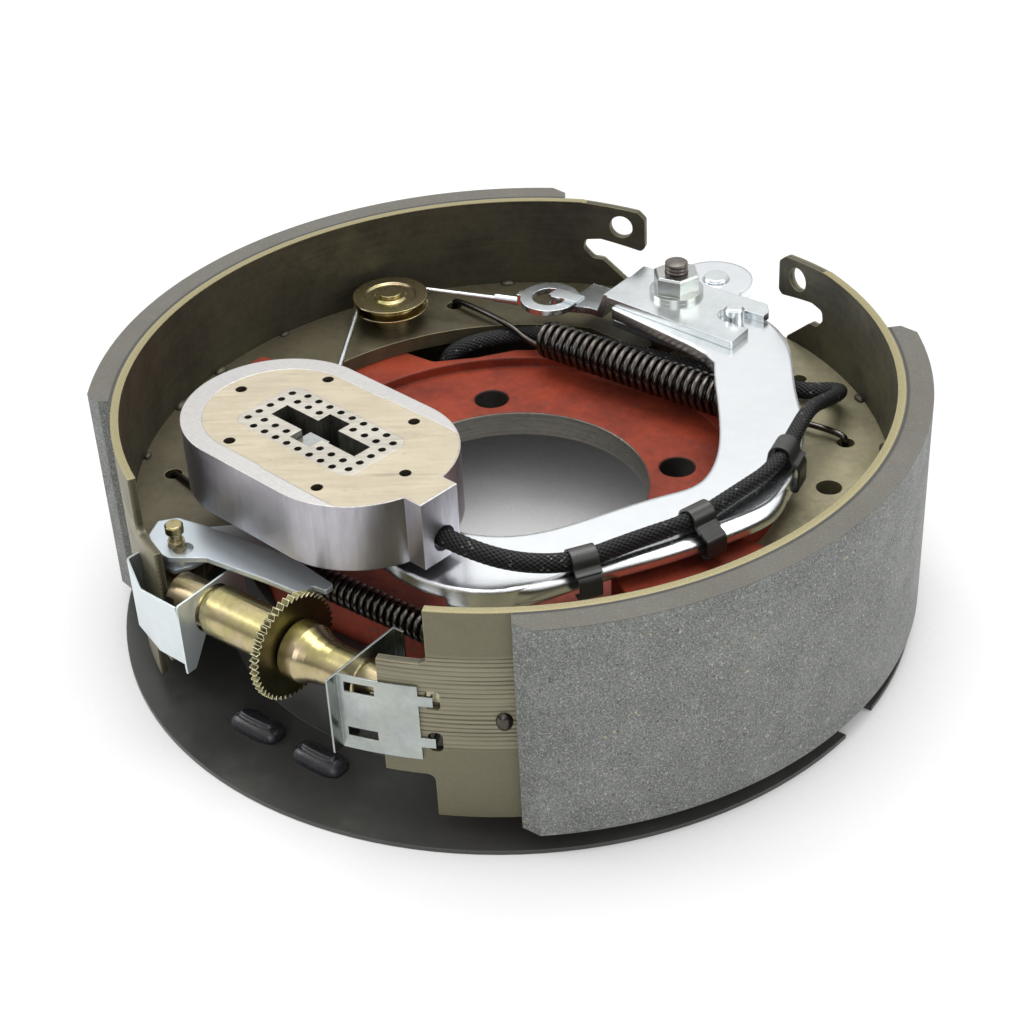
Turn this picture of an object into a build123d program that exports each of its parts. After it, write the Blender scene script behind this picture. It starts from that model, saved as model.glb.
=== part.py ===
from build123d import *
import math
import os

# Frame: origin at the pilot bore's centre on the mounting face, +Z out of the open face,
# +Y from the adjuster to the anchor, +X to the primary shoe. Angles are from +Y towards +X.

# Shoes
R_LINING = 154.5
LINING_T = 9.7
RIM_T = 3.0
R_RIM = R_LINING - LINING_T
R_RIM_IN = R_RIM - RIM_T
Z_LOW = -25.7
Z_HIGH = 60.0
WEB_Z = 15.0
WEB_T = 6.0
WEB_DEEP = 36.8
R_WEB_IN = R_RIM_IN - WEB_DEEP
WEB_END_X = 45.0

# Anchor
ANCHOR_IN = 29.3
ANCHOR = (0.0, R_RIM_IN - ANCHOR_IN)
R_POST = 11.0
R_STUD = 4.75
PUSH = (4.0, ANCHOR[1] + 23.5)
STOP = (30.0, ANCHOR[1] - 3.5)
R_STOP = 4.0
R_PUSH = 5.2
RUN = 0.05

# Spider
R_BORE = 52.0
FLANGE_T = 10.5
PAD_Z = 14.7
BORE_TO_BOLT = 12.0
PCD_R = R_BORE + BORE_TO_BOLT
R_BOLT = 6.75
R_SHIELD_HOLE = PCD_R + 18
R_FLANGE = R_SHIELD_HOLE + 6
RELIEF = 0.6

# Adjuster
ADJ_IN = 14.3
ADJ_Y = ADJ_IN - R_RIM_IN
ADJ_Z = 18.0
R_SCREW = 4.95
R_NUB = 7.0
R_NECK = 8.0
STAR_X = 4.0

# Magnet
MAG = (-22.5, -76.5)
MAG_TURN = -6.0
MAG_Z0 = 42.0
MAG_Z1 = 68.0
R_MAG_POST = 4.0
POST_TOP = 55.2

# Actuating lever
LEVER_Z = 33.8
LEVER_T = 5.0

# Cable
EYE = (-48.0, 90.0)
R_EYE = 12.2
R_EYE_IN = 7.2
EYE_Z = 33.6
EYE_T = 2.4
ARM_Z = 30.5
PEG = (-44.6, 91.4)
PULLEY = (-107.5, 57.8)
R_GROOVE = 12.6
CABLE_Z = 31.5
R_CABLE = 1.15

# Lead
R_LEAD = 3.5
LEAD_HOLE = (-81.0, 56.2)


def polar(r, ang):
    a = math.radians(ang)
    return (r * math.sin(a), r * math.cos(a))


def save(piece, name):
    piece.part.label = name
    export_step(piece.part, "parts/" + name + ".step")


def soften(points, turns):
    # Radii for a softened route: 0.45 of the shorter run over the tangent of half the turn.
    radii = []
    for i in range(1, len(points) - 1):
        a = Vector(*points[i]) - Vector(*points[i - 1])
        b = Vector(*points[i + 1]) - Vector(*points[i])
        turn = math.radians(a.get_angle(b))
        radii.append(0.45 * min(a.length, b.length) / math.tan(turn / 2))
    if turns:
        print([round(r, 1) for r in radii])
    return radii


def arc_sketch(r_in, r_out, a0, a1):
    # An annular sector in plan between two angles.
    mid = (a0 + a1) / 2
    Line(polar(r_in, a0), polar(r_out, a0))
    ThreePointArc(polar(r_out, a0), polar(r_out, mid), polar(r_out, a1))
    Line(polar(r_out, a1), polar(r_in, a1))
    ThreePointArc(polar(r_in, a1), polar(r_in, mid), polar(r_in, a0))


def radial_plane(ang):
    a = math.radians(ang)
    return Plane(
        origin=(R_RIM_IN * math.sin(a), R_RIM_IN * math.cos(a), 0),
        x_dir=(-math.cos(a), math.sin(a), 0),
        z_dir=(math.sin(a), math.cos(a), 0),
    )


def on_rim(ang0, ang, z):
    # A rim point by its angle and height, as seen square on from ang0.
    return (-R_RIM * math.sin(math.radians(ang - ang0)), z)


os.makedirs("parts", exist_ok=True)

# Spider
edge = [(19, 118), (24, 96), (38, 88), (56, 76), (66, 62), (79, 49.5), (93, 49), (105, 41), (121, 32)]
edge += [(126, 8), (123, -32), (112, -60), (96, -79), (78, -82), (55, -84), (34, -97)]
mirrored = [(-x, y) for x, y in reversed(edge)]
with BuildPart() as spider:
    with BuildSketch():
        with BuildLine():
            Polyline((0, 131.5), (12, 130.5), *edge, *mirrored, (-12, 130.5), (0, 131.5))
        make_face()
        corners = [v for v in vertices() if abs(v.X) > 1]
        fillet(corners, 4)
    extrude(amount=PAD_Z)
    with BuildSketch(Plane.XY.offset(FLANGE_T)):
        Circle(R_FLANGE)
    extrude(amount=PAD_Z, mode=Mode.SUBTRACT)
    for s in (1, -1):
        with BuildSketch(Plane.XY.offset(PAD_Z - 2)):
            with BuildLine():
                arc_sketch(R_WEB_IN - 15, R_WEB_IN - 5.5, s * 91, s * 120)
            make_face()
        extrude(amount=28 - PAD_Z + 2)
        with BuildSketch(Plane.XY.offset(WEB_Z + WEB_T + 0.4)):
            with BuildLine():
                arc_sketch(R_WEB_IN - 13, R_RIM_IN - 15.8, s * 91, s * 120)
            make_face()
            fillet(vertices(), 3)
        extrude(amount=28 - WEB_Z - WEB_T - 0.4)
    with BuildSketch():
        Circle(R_BORE)
        with PolarLocations(PCD_R, 4, start_angle=45):
            Circle(R_BOLT)
        with Locations(ANCHOR):
            Circle(R_STUD)
    extrude(amount=40, mode=Mode.SUBTRACT)
    with BuildSketch():
        Circle(R_SHIELD_HOLE)
        Circle(R_SHIELD_HOLE - 0.8, mode=Mode.SUBTRACT)
    extrude(amount=RELIEF, mode=Mode.SUBTRACT)
    rings = spider.edges().filter_by(GeomType.CIRCLE)
    tops = rings.filter_by(lambda e: abs(e.center().Z - FLANGE_T) < 0.01)
    chamfer(tops.filter_by(lambda e: e.radius < 60), 0.8)
save(spider, "spider")

# Dust shield, with the notch in its edge, the slots under the plugs and the lead's hole
SHIELD_R = R_LINING - 1.7
DISH_Z = -33.6
SHEET = 1.6
PLUGS = [(-22, ADJ_Y + 2.5), (8.5, ADJ_Y + 2)]
with BuildPart() as dust_shield:
    with BuildSketch(Plane.XZ):
        with BuildLine():
            Polyline(
                (R_SHIELD_HOLE, -SHEET),
                (R_SHIELD_HOLE, 0),
                (104.5, 0),
                (113.2, DISH_Z),
                (SHIELD_R, DISH_Z),
                (SHIELD_R, DISH_Z - SHEET),
                (112, DISH_Z - SHEET),
                (103.3, -SHEET),
                (R_SHIELD_HOLE, -SHEET),
            )
        make_face()
    revolve(axis=Axis.Z)
    with BuildSketch(Plane.XY.offset(-60)):
        with Locations(LEAD_HOLE):
            Circle(5.0)
        with Locations(*PLUGS):
            SlotOverall(18, 7)
        with Locations((SHIELD_R + 0.2, 0)):
            Rectangle(9, 18)
    extrude(amount=70, mode=Mode.SUBTRACT)
save(dust_shield, "dust_shield")

with BuildPart() as slot_plugs:
    for place in PLUGS:
        with BuildSketch(Plane.XY.offset(DISH_Z)):
            with Locations(place):
                RectangleRounded(22, 11, 4.5)
        extrude(amount=4.6, taper=18)
        with BuildSketch(Plane.XY.offset(DISH_Z + 4.6)):
            with Locations(place):
                SlotOverall(14, 3.4)
        extrude(amount=0.8)
        with BuildSketch(Plane.XY.offset(DISH_Z - SHEET)):
            with Locations(place):
                SlotOverall(17.8, 6.8)
        extrude(amount=SHEET)
save(slot_plugs, "slot_plugs")

with BuildPart() as lead_grommet:
    with BuildSketch(Plane.XY.offset(-SHEET)):
        with Locations(LEAD_HOLE):
            Circle(5.0)
            Circle(R_LEAD + 0.4, mode=Mode.SUBTRACT)
    extrude(amount=SHEET)
    with BuildSketch(Plane.XY):
        with Locations(LEAD_HOLE):
            Circle(5.8)
            Circle(R_LEAD + 0.4, mode=Mode.SUBTRACT)
    extrude(amount=2)
save(lead_grommet, "lead_grommet")

# Anchor pieces
with BuildPart() as anchor_stud:
    with Locations((*ANCHOR, 0)):
        Cylinder(R_STUD, 56, align=(Align.CENTER, Align.CENTER, Align.MIN))
    chamfer(anchor_stud.faces().sort_by(Axis.Z)[-1].edges(), 1)
save(anchor_stud, "anchor_stud")

with BuildPart() as anchor_post:
    with Locations((*ANCHOR, PAD_Z)):
        Cylinder(R_POST, 27 - PAD_Z, align=(Align.CENTER, Align.CENTER, Align.MIN))
        Cylinder(R_STUD, 30, mode=Mode.SUBTRACT)
save(anchor_post, "anchor_post")

with BuildPart() as anchor_nut:
    with BuildSketch(Plane.XY.offset(41.9)):
        with Locations(ANCHOR):
            Circle(10.9)
    extrude(amount=2)
    with BuildSketch(Plane.XY.offset(43.9)):
        with Locations(ANCHOR):
            RegularPolygon(8.5, 6, major_radius=False, rotation=12)
    extrude(amount=7.6)
    chamfer(anchor_nut.faces().sort_by(Axis.Z)[-1].edges(), 0.8)
    with BuildSketch(Plane.XY.offset(41.9)):
        with Locations(ANCHOR):
            Circle(R_STUD)
    extrude(amount=12, mode=Mode.SUBTRACT)
save(anchor_nut, "anchor_nut")

with BuildPart() as guide_plate:
    with BuildSketch(Plane.XY.offset(27)):
        with BuildLine():
            Polyline((-21.5, 122), (18, 122), (18, 94.2), (-21.5, 97), (-21.5, 122))
        make_face()
        fillet(vertices(), 1.5)
        with Locations(ANCHOR):
            Circle(R_STUD, mode=Mode.SUBTRACT)
    extrude(amount=3)
save(guide_plate, "guide_plate")

BRACKET_Z = LEVER_Z + LEVER_T + 0.1
with BuildPart() as cable_bracket:
    with BuildSketch(Plane.XY.offset(BRACKET_Z)):
        with BuildLine():
            Polyline((-24, 124), (36, 124), (40, 119), (40, 103), (40.6, 90), (-22, 94), (-24, 124))
        make_face()
        fillet(vertices(), 0.8)
    extrude(amount=3)
    with BuildSketch(Plane.XY.offset(BRACKET_Z - 1)):
        with Locations((STOP[0] + 4, STOP[1])):
            SlotOverall(22, 2 * R_STOP + 3.6)
        with Locations(ANCHOR):
            Circle(R_STUD)
    extrude(amount=6, mode=Mode.SUBTRACT)
    with BuildSketch(Plane.XZ.offset(-95)):
        with BuildLine():
            Polyline(
                (-21, BRACKET_Z),
                (-21, BRACKET_Z + 3),
                (-24, BRACKET_Z + 3),
                (-27.4, ARM_Z + 3),
                (-42, ARM_Z + 3),
                (-42, ARM_Z),
                (-25, ARM_Z),
                (-22, BRACKET_Z),
                close=True,
            )
        make_face()
    extrude(amount=-18)
    with BuildSketch(Plane.XY.offset(ARM_Z)):
        with BuildLine():
            Polyline((-30, 113), (-30, 95.5), (-42, 90.6), (-48.2, 88.5), (-48.2, 94), (-42, 104), (-38, 113))
            Line((-38, 113), (-30, 113))
        make_face()
        fillet(vertices(), 1.5)
    extrude(amount=3)
    with Locations((*PEG, ARM_Z)):
        Cylinder(3.2, EYE_Z + EYE_T - ARM_Z, align=(Align.CENTER, Align.CENTER, Align.MIN))
    with Locations((PEG[0] + 3.6, PEG[1] + 1.2, EYE_Z + EYE_T + 0.1)):
        Box(13.5, 6.4, 1.6, align=(Align.CENTER, Align.CENTER, Align.MIN))
    with Locations((*PEG, EYE_Z)):
        Cylinder(3.2, EYE_T + 1.7, align=(Align.CENTER, Align.CENTER, Align.MIN))
save(cable_bracket, "cable_bracket")

# Actuating lever: curved plate with a rolled-down outer edge
outer = [(28.4, 119.9), (54.4, 108.2), (77.7, 77), (92.5, 58), (103.5, 35), (108.5, 11.6), (105, -3)]
outer += [(92, -30), (80, -52.5), (70, -74.6), (61, -86), (47, -93), (18, -92.7)]
inner = [(5, -65.5), (28.5, -66.3), (45.5, -58), (63, -32), (75, -9), (81, 3.2), (80, 14.7)]
inner += [(71.2, 33.9), (53.3, 59.7), (39.8, 78.8)]
flange_points = []
for i in range(1, len(outer) - 1):
    dx = outer[i + 1][0] - outer[i - 1][0]
    dy = outer[i + 1][1] - outer[i - 1][1]
    size = math.hypot(dx, dy)
    flange_points.append((outer[i][0] + dy / size * 4.5, outer[i][1] - dx / size * 4.5))
ROLL_Z = 30.8
with BuildPart() as actuating_lever:
    with BuildSketch(Plane.XY.offset(ROLL_Z)):
        with BuildLine():
            Spline(*outer)
            Line(outer[-1], (-12, -87))
            ThreePointArc((-12, -87), (-37.5, -76.5), (-12, -66))
            Line((-12, -66), inner[0])
            Spline(*inner)
            Polyline(inner[-1], (33, 82.5), (25, 84.8), (-18, 92.2), (-18, 122), (-11.5, 130))
            ThreePointArc((-11.5, 130), (3.5, 151), (19, 131))
            Line((19, 131), outer[0])
        make_face()
    extrude(amount=LEVER_Z + LEVER_T - ROLL_Z)
    # All but a strip along the outer edge is cut back to the plate's thickness
    with BuildSketch(Plane.XY.offset(ROLL_Z)):
        with BuildLine():
            Spline(*flange_points)
            Polyline(
                flange_points[-1],
                (40, -110),
                (-80, -110),
                (-80, 170),
                (70, 170),
                (62, 118),
                flange_points[0],
            )
        make_face()
    extrude(amount=LEVER_Z - ROLL_Z, mode=Mode.SUBTRACT)
    with BuildSketch(Plane.XY.offset(30.1)):
        with Locations(ANCHOR):
            Circle(14)
    extrude(amount=LEVER_Z - 30.1)
    with BuildSketch(Plane.XY.offset(20)):
        with Locations(ANCHOR):
            Circle(R_STUD + RUN)
        with Locations(PUSH):
            Circle(R_PUSH)
        with Locations(MAG):
            Circle(R_MAG_POST)
    extrude(amount=30, mode=Mode.SUBTRACT)
save(actuating_lever, "actuating_lever")

with BuildPart() as push_stud:
    with Locations((*PUSH, 15.5)):
        Cylinder(R_PUSH, 24.7, align=(Align.CENTER, Align.CENTER, Align.MIN))
    chamfer(push_stud.faces().sort_by(Axis.Z)[-1].edges(), 0.6)
save(push_stud, "push_stud")

with BuildPart() as stop_pin:
    with Locations((*STOP, LEVER_Z + LEVER_T)):
        Cylinder(R_STOP, 7.2, align=(Align.CENTER, Align.CENTER, Align.MIN))
    chamfer(stop_pin.faces().sort_by(Axis.Z)[-1].edges(), 1)
save(stop_pin, "stop_pin")

with BuildPart() as magnet_post:
    with Locations((*MAG, LEVER_Z)):
        Cylinder(R_MAG_POST, POST_TOP - LEVER_Z, align=(Align.CENTER, Align.CENTER, Align.MIN))
save(magnet_post, "magnet_post")

with BuildPart() as magnet_spring:
    with Locations((*MAG, LEVER_Z + LEVER_T)):
        Cone(9, 7, MAG_Z0 - LEVER_Z - LEVER_T, align=(Align.CENTER, Align.CENTER, Align.MIN))
        Cylinder(5.5, 20, mode=Mode.SUBTRACT)
save(magnet_spring, "magnet_spring")

# Braided lead, from the magnet's end block over the lever and down through the shield
LEAD_Z = 43.2
route = [
    (34, -83.3, 50.2),
    (47, -83, 48.5),
    (63, -75.5, 44.6),
    (77, -63, LEAD_Z),
    (85, -43, LEAD_Z),
    (96, -20, LEAD_Z),
    (99, 3, LEAD_Z),
    (101.5, 22, LEAD_Z),
    (96.5, 43, 43.2),
    (90.5, 65, 42.4),
    (88, 83, 35.5),
    (86, 97, 30.6),
    (80, 103.5, 26.6),
    (70, 98.5, 25.2),
    (56, 96, 25.0),
    (36, 92.3, 24.2),
    (-8, 90.3, 22.4),
    (-45, 89.8, 19.6),
    (-63, 79, 18.4),
    (-76, 64.5, 16.4),
    (-81, 56.8, 9.5),
    (-81, 56.2, -12),
]
with BuildPart() as magnet_lead:
    with BuildLine() as lead_line:
        FilletPolyline(*route, radius=soften(route, True))
    with BuildSketch(Plane(origin=route[0], z_dir=lead_line.line % 0)):
        Circle(R_LEAD)
    sweep()
print("lead", magnet_lead.part.volume, lead_line.wires()[0].length * math.pi * R_LEAD**2)
save(magnet_lead, "magnet_lead")

# Clips over the lead on the lever's edge: nearest place and distance from lead to outer leg
CLIPS = [(78.5, -61.5, 4.4), (97, -18.8, 5.0), (98.5, 33.0, 6.6)]
lead_wire = lead_line.wires()[0]
with BuildPart() as lead_clips:
    for cx, cy, leg in CLIPS:
        spots = [k / 400 for k in range(400)]
        at = min(spots, key=lambda k: (lead_wire @ k - Vector(cx, cy, LEAD_Z)).length)
        along = lead_wire % at
        along = Vector(along.X, along.Y, 0).normalized()
        out = Vector(along.Y, -along.X, 0)
        middle = lead_wire @ at
        face = Plane(origin=Vector(middle.X, middle.Y, 0) + along * 5, x_dir=out, z_dir=along * -1)
        up = 1 if face.y_dir.Z > 0 else -1
        with BuildSketch(face):
            with BuildLine():
                Polyline(
                    (-9, up * 38.9),
                    (-3.8, up * 38.9),
                    (-3.8, up * 45.4),
                    (-1.8, up * 47.3),
                    (leg - 2.2, up * 47.3),
                    (leg, up * 45),
                    (leg, up * 30.4),
                    (leg - 4, up * 30.4),
                    (leg - 4, up * 29.4),
                    (leg + 1, up * 29.4),
                    (leg + 1, up * 45.5),
                    (leg - 1.6, up * 48.3),
                    (-2.4, up * 48.3),
                    (-4.8, up * 46),
                    (-4.8, up * 39.9),
                    (-9, up * 39.9),
                    close=True,
                )
            make_face()
        extrude(amount=10)
save(lead_clips, "lead_clips")

# Magnet, drawn at the origin along X and then turned into place
seat = Location((*MAG, 0), (0, 0, MAG_TURN))


def racetrack(left, right, radius):
    with Locations((left, 0), (right, 0)):
        Circle(radius)
    with Locations(((left + right) / 2, 0)):
        Rectangle(right - left, 2 * radius)


FACE_HOLES = [(-42.4, 0.2), (42.6, 0), (-23, 24.8), (21.6, 24.6), (-19.2, -24.9), (26, -25)]
CORE = (0.2, -0.2)
CORE_X = 59.5
CORE_Y = 29.8
BLOCK = (52, -2)
BLOCK_X = 17.0
BLOCK_Y = 17.0


def pad_shape(grow):
    racetrack(-20, 19.5, 28.3 + grow)
    with Locations((20, 0)):
        Circle(34.2 + grow)
    with Locations((0, 44 + grow), (0, -44 - grow)):
        Rectangle(140, 30, mode=Mode.SUBTRACT)
    with Locations((BLOCK[0] - 0.4, BLOCK[1])):
        Rectangle(BLOCK_X - 0.8, BLOCK_Y - 0.8)


with BuildPart() as magnet_body:
    with BuildSketch(Plane.XY.offset(MAG_Z0)):
        racetrack(-21.5, 19.5, 35)
    extrude(amount=MAG_Z1 - MAG_Z0)
    with BuildSketch(Plane.XY.offset(MAG_Z0)):
        with Locations(BLOCK):
            Rectangle(BLOCK_X, BLOCK_Y)
    extrude(amount=MAG_Z1 - MAG_Z0)
    with BuildSketch(Plane.XY.offset(MAG_Z1 - 3)):
        pad_shape(0)
    extrude(amount=5, mode=Mode.SUBTRACT)
    with BuildSketch(Plane.XY.offset(MAG_Z0 + 8)):
        with Locations(CORE):
            RectangleRounded(CORE_X, CORE_Y, 5)
    extrude(amount=20, mode=Mode.SUBTRACT)
    with BuildSketch(Plane.XY.offset(MAG_Z1 - 8)):
        with Locations(*FACE_HOLES):
            Circle(2.1)
    extrude(amount=10, mode=Mode.SUBTRACT)
    with BuildSketch(Plane.XY.offset(MAG_Z0)):
        Circle(R_MAG_POST + 0.3)
    extrude(amount=20, mode=Mode.SUBTRACT)
    with BuildSketch(Plane.YZ.offset(56)):
        with Locations((-1, 50)):
            Circle(R_LEAD + 1.2)
    extrude(amount=10, mode=Mode.SUBTRACT)
magnet_body.part = seat * magnet_body.part
save(magnet_body, "magnet_body")

with BuildPart() as magnet_pad:
    with BuildSketch(Plane.XY.offset(MAG_Z1 - 3)):
        pad_shape(0)
        with Locations(CORE):
            RectangleRounded(CORE_X, CORE_Y, 5, mode=Mode.SUBTRACT)
        with Locations(*FACE_HOLES):
            Circle(2.1, mode=Mode.SUBTRACT)
    extrude(amount=3)
magnet_pad.part = seat * magnet_pad.part
save(magnet_pad, "magnet_pad")

dots = [(x * 5.8, y) for x in (-3.5, -2.5, -1.5, -0.5, 0.5, 1.5, 2.5, 3.5) for y in (-12.9, 12.6)]
dots += [(x * 5.8, y) for x in (-3.5, -2.5, -1.5, 1.5, 2.5, 3.5) for y in (-7.9, 7.6)]
dots += [(x, y) for x in (-26.2, 25.8) for y in (-10.4, -5.2, 0, 5.2, 10.4)]
with BuildPart() as magnet_core:
    with BuildSketch(Plane.XY.offset(MAG_Z0 + 8)):
        with Locations(CORE):
            RectangleRounded(CORE_X, CORE_Y, 5)
    extrude(amount=MAG_Z1 - MAG_Z0 - 8)
    with BuildSketch(Plane.XY.offset(MAG_Z0 + 12)):
        with Locations(CORE):
            Rectangle(43, 7.6)
            Rectangle(10.4, 19)
    extrude(amount=20, mode=Mode.SUBTRACT)
    with BuildSketch(Plane.XY.offset(MAG_Z1 - 3)):
        with Locations(CORE):
            with Locations(*dots):
                Circle(1.35)
    extrude(amount=5, mode=Mode.SUBTRACT)
    with BuildSketch(Plane.XY.offset(MAG_Z0)):
        Circle(R_MAG_POST + 0.3)
    extrude(amount=20, mode=Mode.SUBTRACT)
magnet_core.part = seat * magnet_core.part
save(magnet_core, "magnet_core")

with BuildPart() as magnet_clip:
    with BuildSketch(Plane.XY.offset(MAG_Z1 - 3.6)):
        with Locations((CORE[0], CORE[1] - 4.8)):
            Rectangle(9.8, 9)
    extrude(amount=1)
    with BuildSketch(Plane.XY.offset(MAG_Z0 + 12.1)):
        with Locations((CORE[0], CORE[1] - 8.9)):
            Rectangle(9.8, 0.8)
    extrude(amount=MAG_Z1 - MAG_Z0 - 15.7)
magnet_clip.part = seat * magnet_clip.part
save(magnet_clip, "magnet_clip")

# Shoes: rim, web, lining and clip for the right (side 1) and the left (side -1)
TAB = [(8, 66), (25, 66), (25, 60), (14.8, 57.6), (13.5, 54.6), (13.5, 41.7), (14.2, 39.8)]
TAB += [(21.3, 43.4), (24.0, 42.6), (24.3, 38.5), (22.7, 34.1), (21.0, 33.8), (15.7, 22.0)]
TAB += [(15.7, 12.0), (18.5, 2.0), (18.5, -32), (8, -32)]
TONGUE_TOP = [(153, 70), (153, 38.4), (164, 38.4), (164, 70)]
TONGUE_LOW = [(153, -40), (153, -7.8), (164, -7.8), (164, -40)]
LINING_SPAN = {1: (43.5, 141.9), -1: (-131.0, -27.9)}
SPRING_HOLE = {1: (97.9, 80.7), -1: (-94.3, 83.2)}
LOW_HOLE = {1: (102, -78), -1: (-102, -78)}
CLIP_X = {1: 36.6, -1: -33.5}
CLIP_TOP = {1: (29.7, 4.6), -1: (28.2, 5.0)}
CLIP_LOW = -1.0
CLIP_HOLE = {1: R_NUB + 1, -1: R_NECK + 1}


def make_rim(s, name):
    with BuildPart() as rim:
        with BuildSketch(Plane.XY.offset(Z_LOW)):
            with BuildLine():
                arc_sketch(R_RIM_IN, R_RIM, s * 12, s * 159.7)
            make_face()
        extrude(amount=Z_HIGH - Z_LOW)
        for centre, shape, soft in ((17.7, TAB, 2.0), (156, TONGUE_TOP, 3), (156, TONGUE_LOW, 3)):
            with BuildSketch(radial_plane(s * centre).offset(-20)):
                with BuildLine():
                    Polyline(*[on_rim(s * centre, s * a, z) for a, z in shape], close=True)
                make_face()
                fillet(vertices(), soft)
            extrude(amount=40, mode=Mode.SUBTRACT)
        with BuildSketch(radial_plane(s * 17.7).offset(-5)):
            with Locations((0, 50)):
                Circle(5)
        extrude(amount=20, mode=Mode.SUBTRACT)
        with BuildSketch(radial_plane(s * 152.6).offset(-5)):
            with Locations((0, 23.7), (0, 6.3)):
                RectangleRounded(5, 8, 2)
        extrude(amount=20, mode=Mode.SUBTRACT)
    save(rim, name)


def make_web(s, name):
    y_out = math.sqrt(R_RIM_IN**2 - WEB_END_X**2)
    with BuildPart() as web:
        with BuildSketch(Plane.XY.offset(WEB_Z)):
            with BuildLine():
                Polyline((s * 34, 99.3), (s * 5, 96), (s * 5, math.sqrt(R_RIM_IN**2 - 25)))
                ThreePointArc(
                    (s * 5, math.sqrt(R_RIM_IN**2 - 25)),
                    polar(R_RIM_IN, s * 80),
                    (s * WEB_END_X, -y_out),
                )
                Polyline((s * WEB_END_X, -y_out), (s * WEB_END_X, -119), (s * 52, -112), (s * 60, -86.2))
                ThreePointArc((s * 60, -86.2), polar(R_WEB_IN, s * 82), (s * 34, 99.3))
            make_face()
            with Locations(ANCHOR):
                Circle(R_POST + 0.3, mode=Mode.SUBTRACT)
            with Locations(PUSH):
                Circle(R_PUSH + 2.1, mode=Mode.SUBTRACT)
            with Locations(SPRING_HOLE[s], LOW_HOLE[s]):
                Circle(3.4, mode=Mode.SUBTRACT)
            if s > 0:
                with Locations((59.3, 111.3)):
                    Circle(3, mode=Mode.SUBTRACT)
                with Locations((108, 51)):
                    Circle(4.8, mode=Mode.SUBTRACT)
        extrude(amount=WEB_T)
    save(web, name)


def make_lining(s, name):
    a0, a1 = LINING_SPAN[s]
    mid = (a0 + a1) / 2
    with BuildPart() as lining:
        with BuildSketch(Plane.XY.offset(Z_LOW)):
            with BuildLine():
                Polyline(polar(R_RIM, a0), polar(R_LINING - 4.5, a0), polar(R_LINING, a0 + 2.2))
                ThreePointArc(polar(R_LINING, a0 + 2.2), polar(R_LINING, mid), polar(R_LINING, a1 - 2.2))
                Polyline(polar(R_LINING, a1 - 2.2), polar(R_LINING - 4.5, a1), polar(R_RIM, a1))
                ThreePointArc(polar(R_RIM, a1), polar(R_RIM, mid), polar(R_RIM, a0))
            make_face()
        extrude(amount=Z_HIGH - Z_LOW)
    save(lining, name)


def make_clip(s, name):
    x = CLIP_X[s]
    top, flap = CLIP_TOP[s]
    r_in = R_RIM + 0.1
    r_out = r_in + 0.8
    a_end = math.degrees(math.atan2(abs(x), -math.sqrt(r_in**2 - x**2)))
    with BuildPart() as clip:
        with BuildSketch(Plane.XY.offset(CLIP_LOW)):
            with BuildLine():
                arc_sketch(r_in, r_out, s * 154.4, s * a_end)
            make_face()
        extrude(amount=top - CLIP_LOW)
        for z0, z1 in ((4.6, 8.2), (22.8, 27.2)):
            with BuildSketch(Plane.XY.offset(z0)):
                with BuildLine():
                    arc_sketch(r_in - 1, r_out + 1, s * 160.2, s * 164.4)
                make_face()
            extrude(amount=z1 - z0, mode=Mode.SUBTRACT)
        with BuildSketch(Plane.YZ.offset(x - 0.4)):
            with Locations((-128.3, (top + CLIP_LOW) / 2)):
                Rectangle(34.2, top - CLIP_LOW)
            with Locations((ADJ_Y, ADJ_Z)):
                Circle(CLIP_HOLE[s], mode=Mode.SUBTRACT)
            with Locations((ADJ_Y, ADJ_Z - 12)):
                Rectangle(11, 24, mode=Mode.SUBTRACT)
        extrude(amount=0.8)
        with BuildSketch(Plane.XZ.offset(111.2)):
            with Locations((x + s * (flap / 2 - 0.4), top - 9)):
                Rectangle(flap, 18)
        extrude(amount=0.8)
        for z in (23.7, 6.3):
            with BuildSketch(Plane.XY.offset(z - 2)):
                with BuildLine():
                    arc_sketch(r_in, r_out, s * 152.8, s * 154.6)
                make_face()
            extrude(amount=4)
            with BuildSketch(Plane.XY.offset(z - 2)):
                with BuildLine():
                    arc_sketch(R_RIM_IN - 2, r_out, s * 152.5, s * 152.82)
                make_face()
            extrude(amount=4)
    save(clip, name)


for side, word in ((1, "primary"), (-1, "secondary")):
    make_rim(side, word + "_rim")
    make_web(side, word + "_web")
    make_lining(side, word + "_lining")
    make_clip(side, word + "_clip")

# Adjuster: sleeve, star wheel with its screw, and nut, all along X
axis_plane = Plane(origin=(0, ADJ_Y, ADJ_Z), x_dir=(0, 1, 0), z_dir=(1, 0, 0))


AXIS_X = Axis((0, ADJ_Y, ADJ_Z), (1, 0, 0))
BORE = R_SCREW + RUN


def forked(profile, x0, x1):
    # Revolves a closed (x, radius) outline about the adjuster's axis and forks one end for the web.
    with BuildPart() as piece:
        with BuildSketch(Plane(origin=(0, ADJ_Y, ADJ_Z), x_dir=(1, 0, 0), z_dir=(0, 1, 0))):
            with BuildLine():
                Polyline(*profile, close=True)
            make_face()
        revolve(axis=AXIS_X)
        with BuildSketch(axis_plane.offset(x0)):
            Rectangle(30, WEB_T + 0.4)
        extrude(amount=x1 - x0, mode=Mode.SUBTRACT)
    return piece


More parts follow.
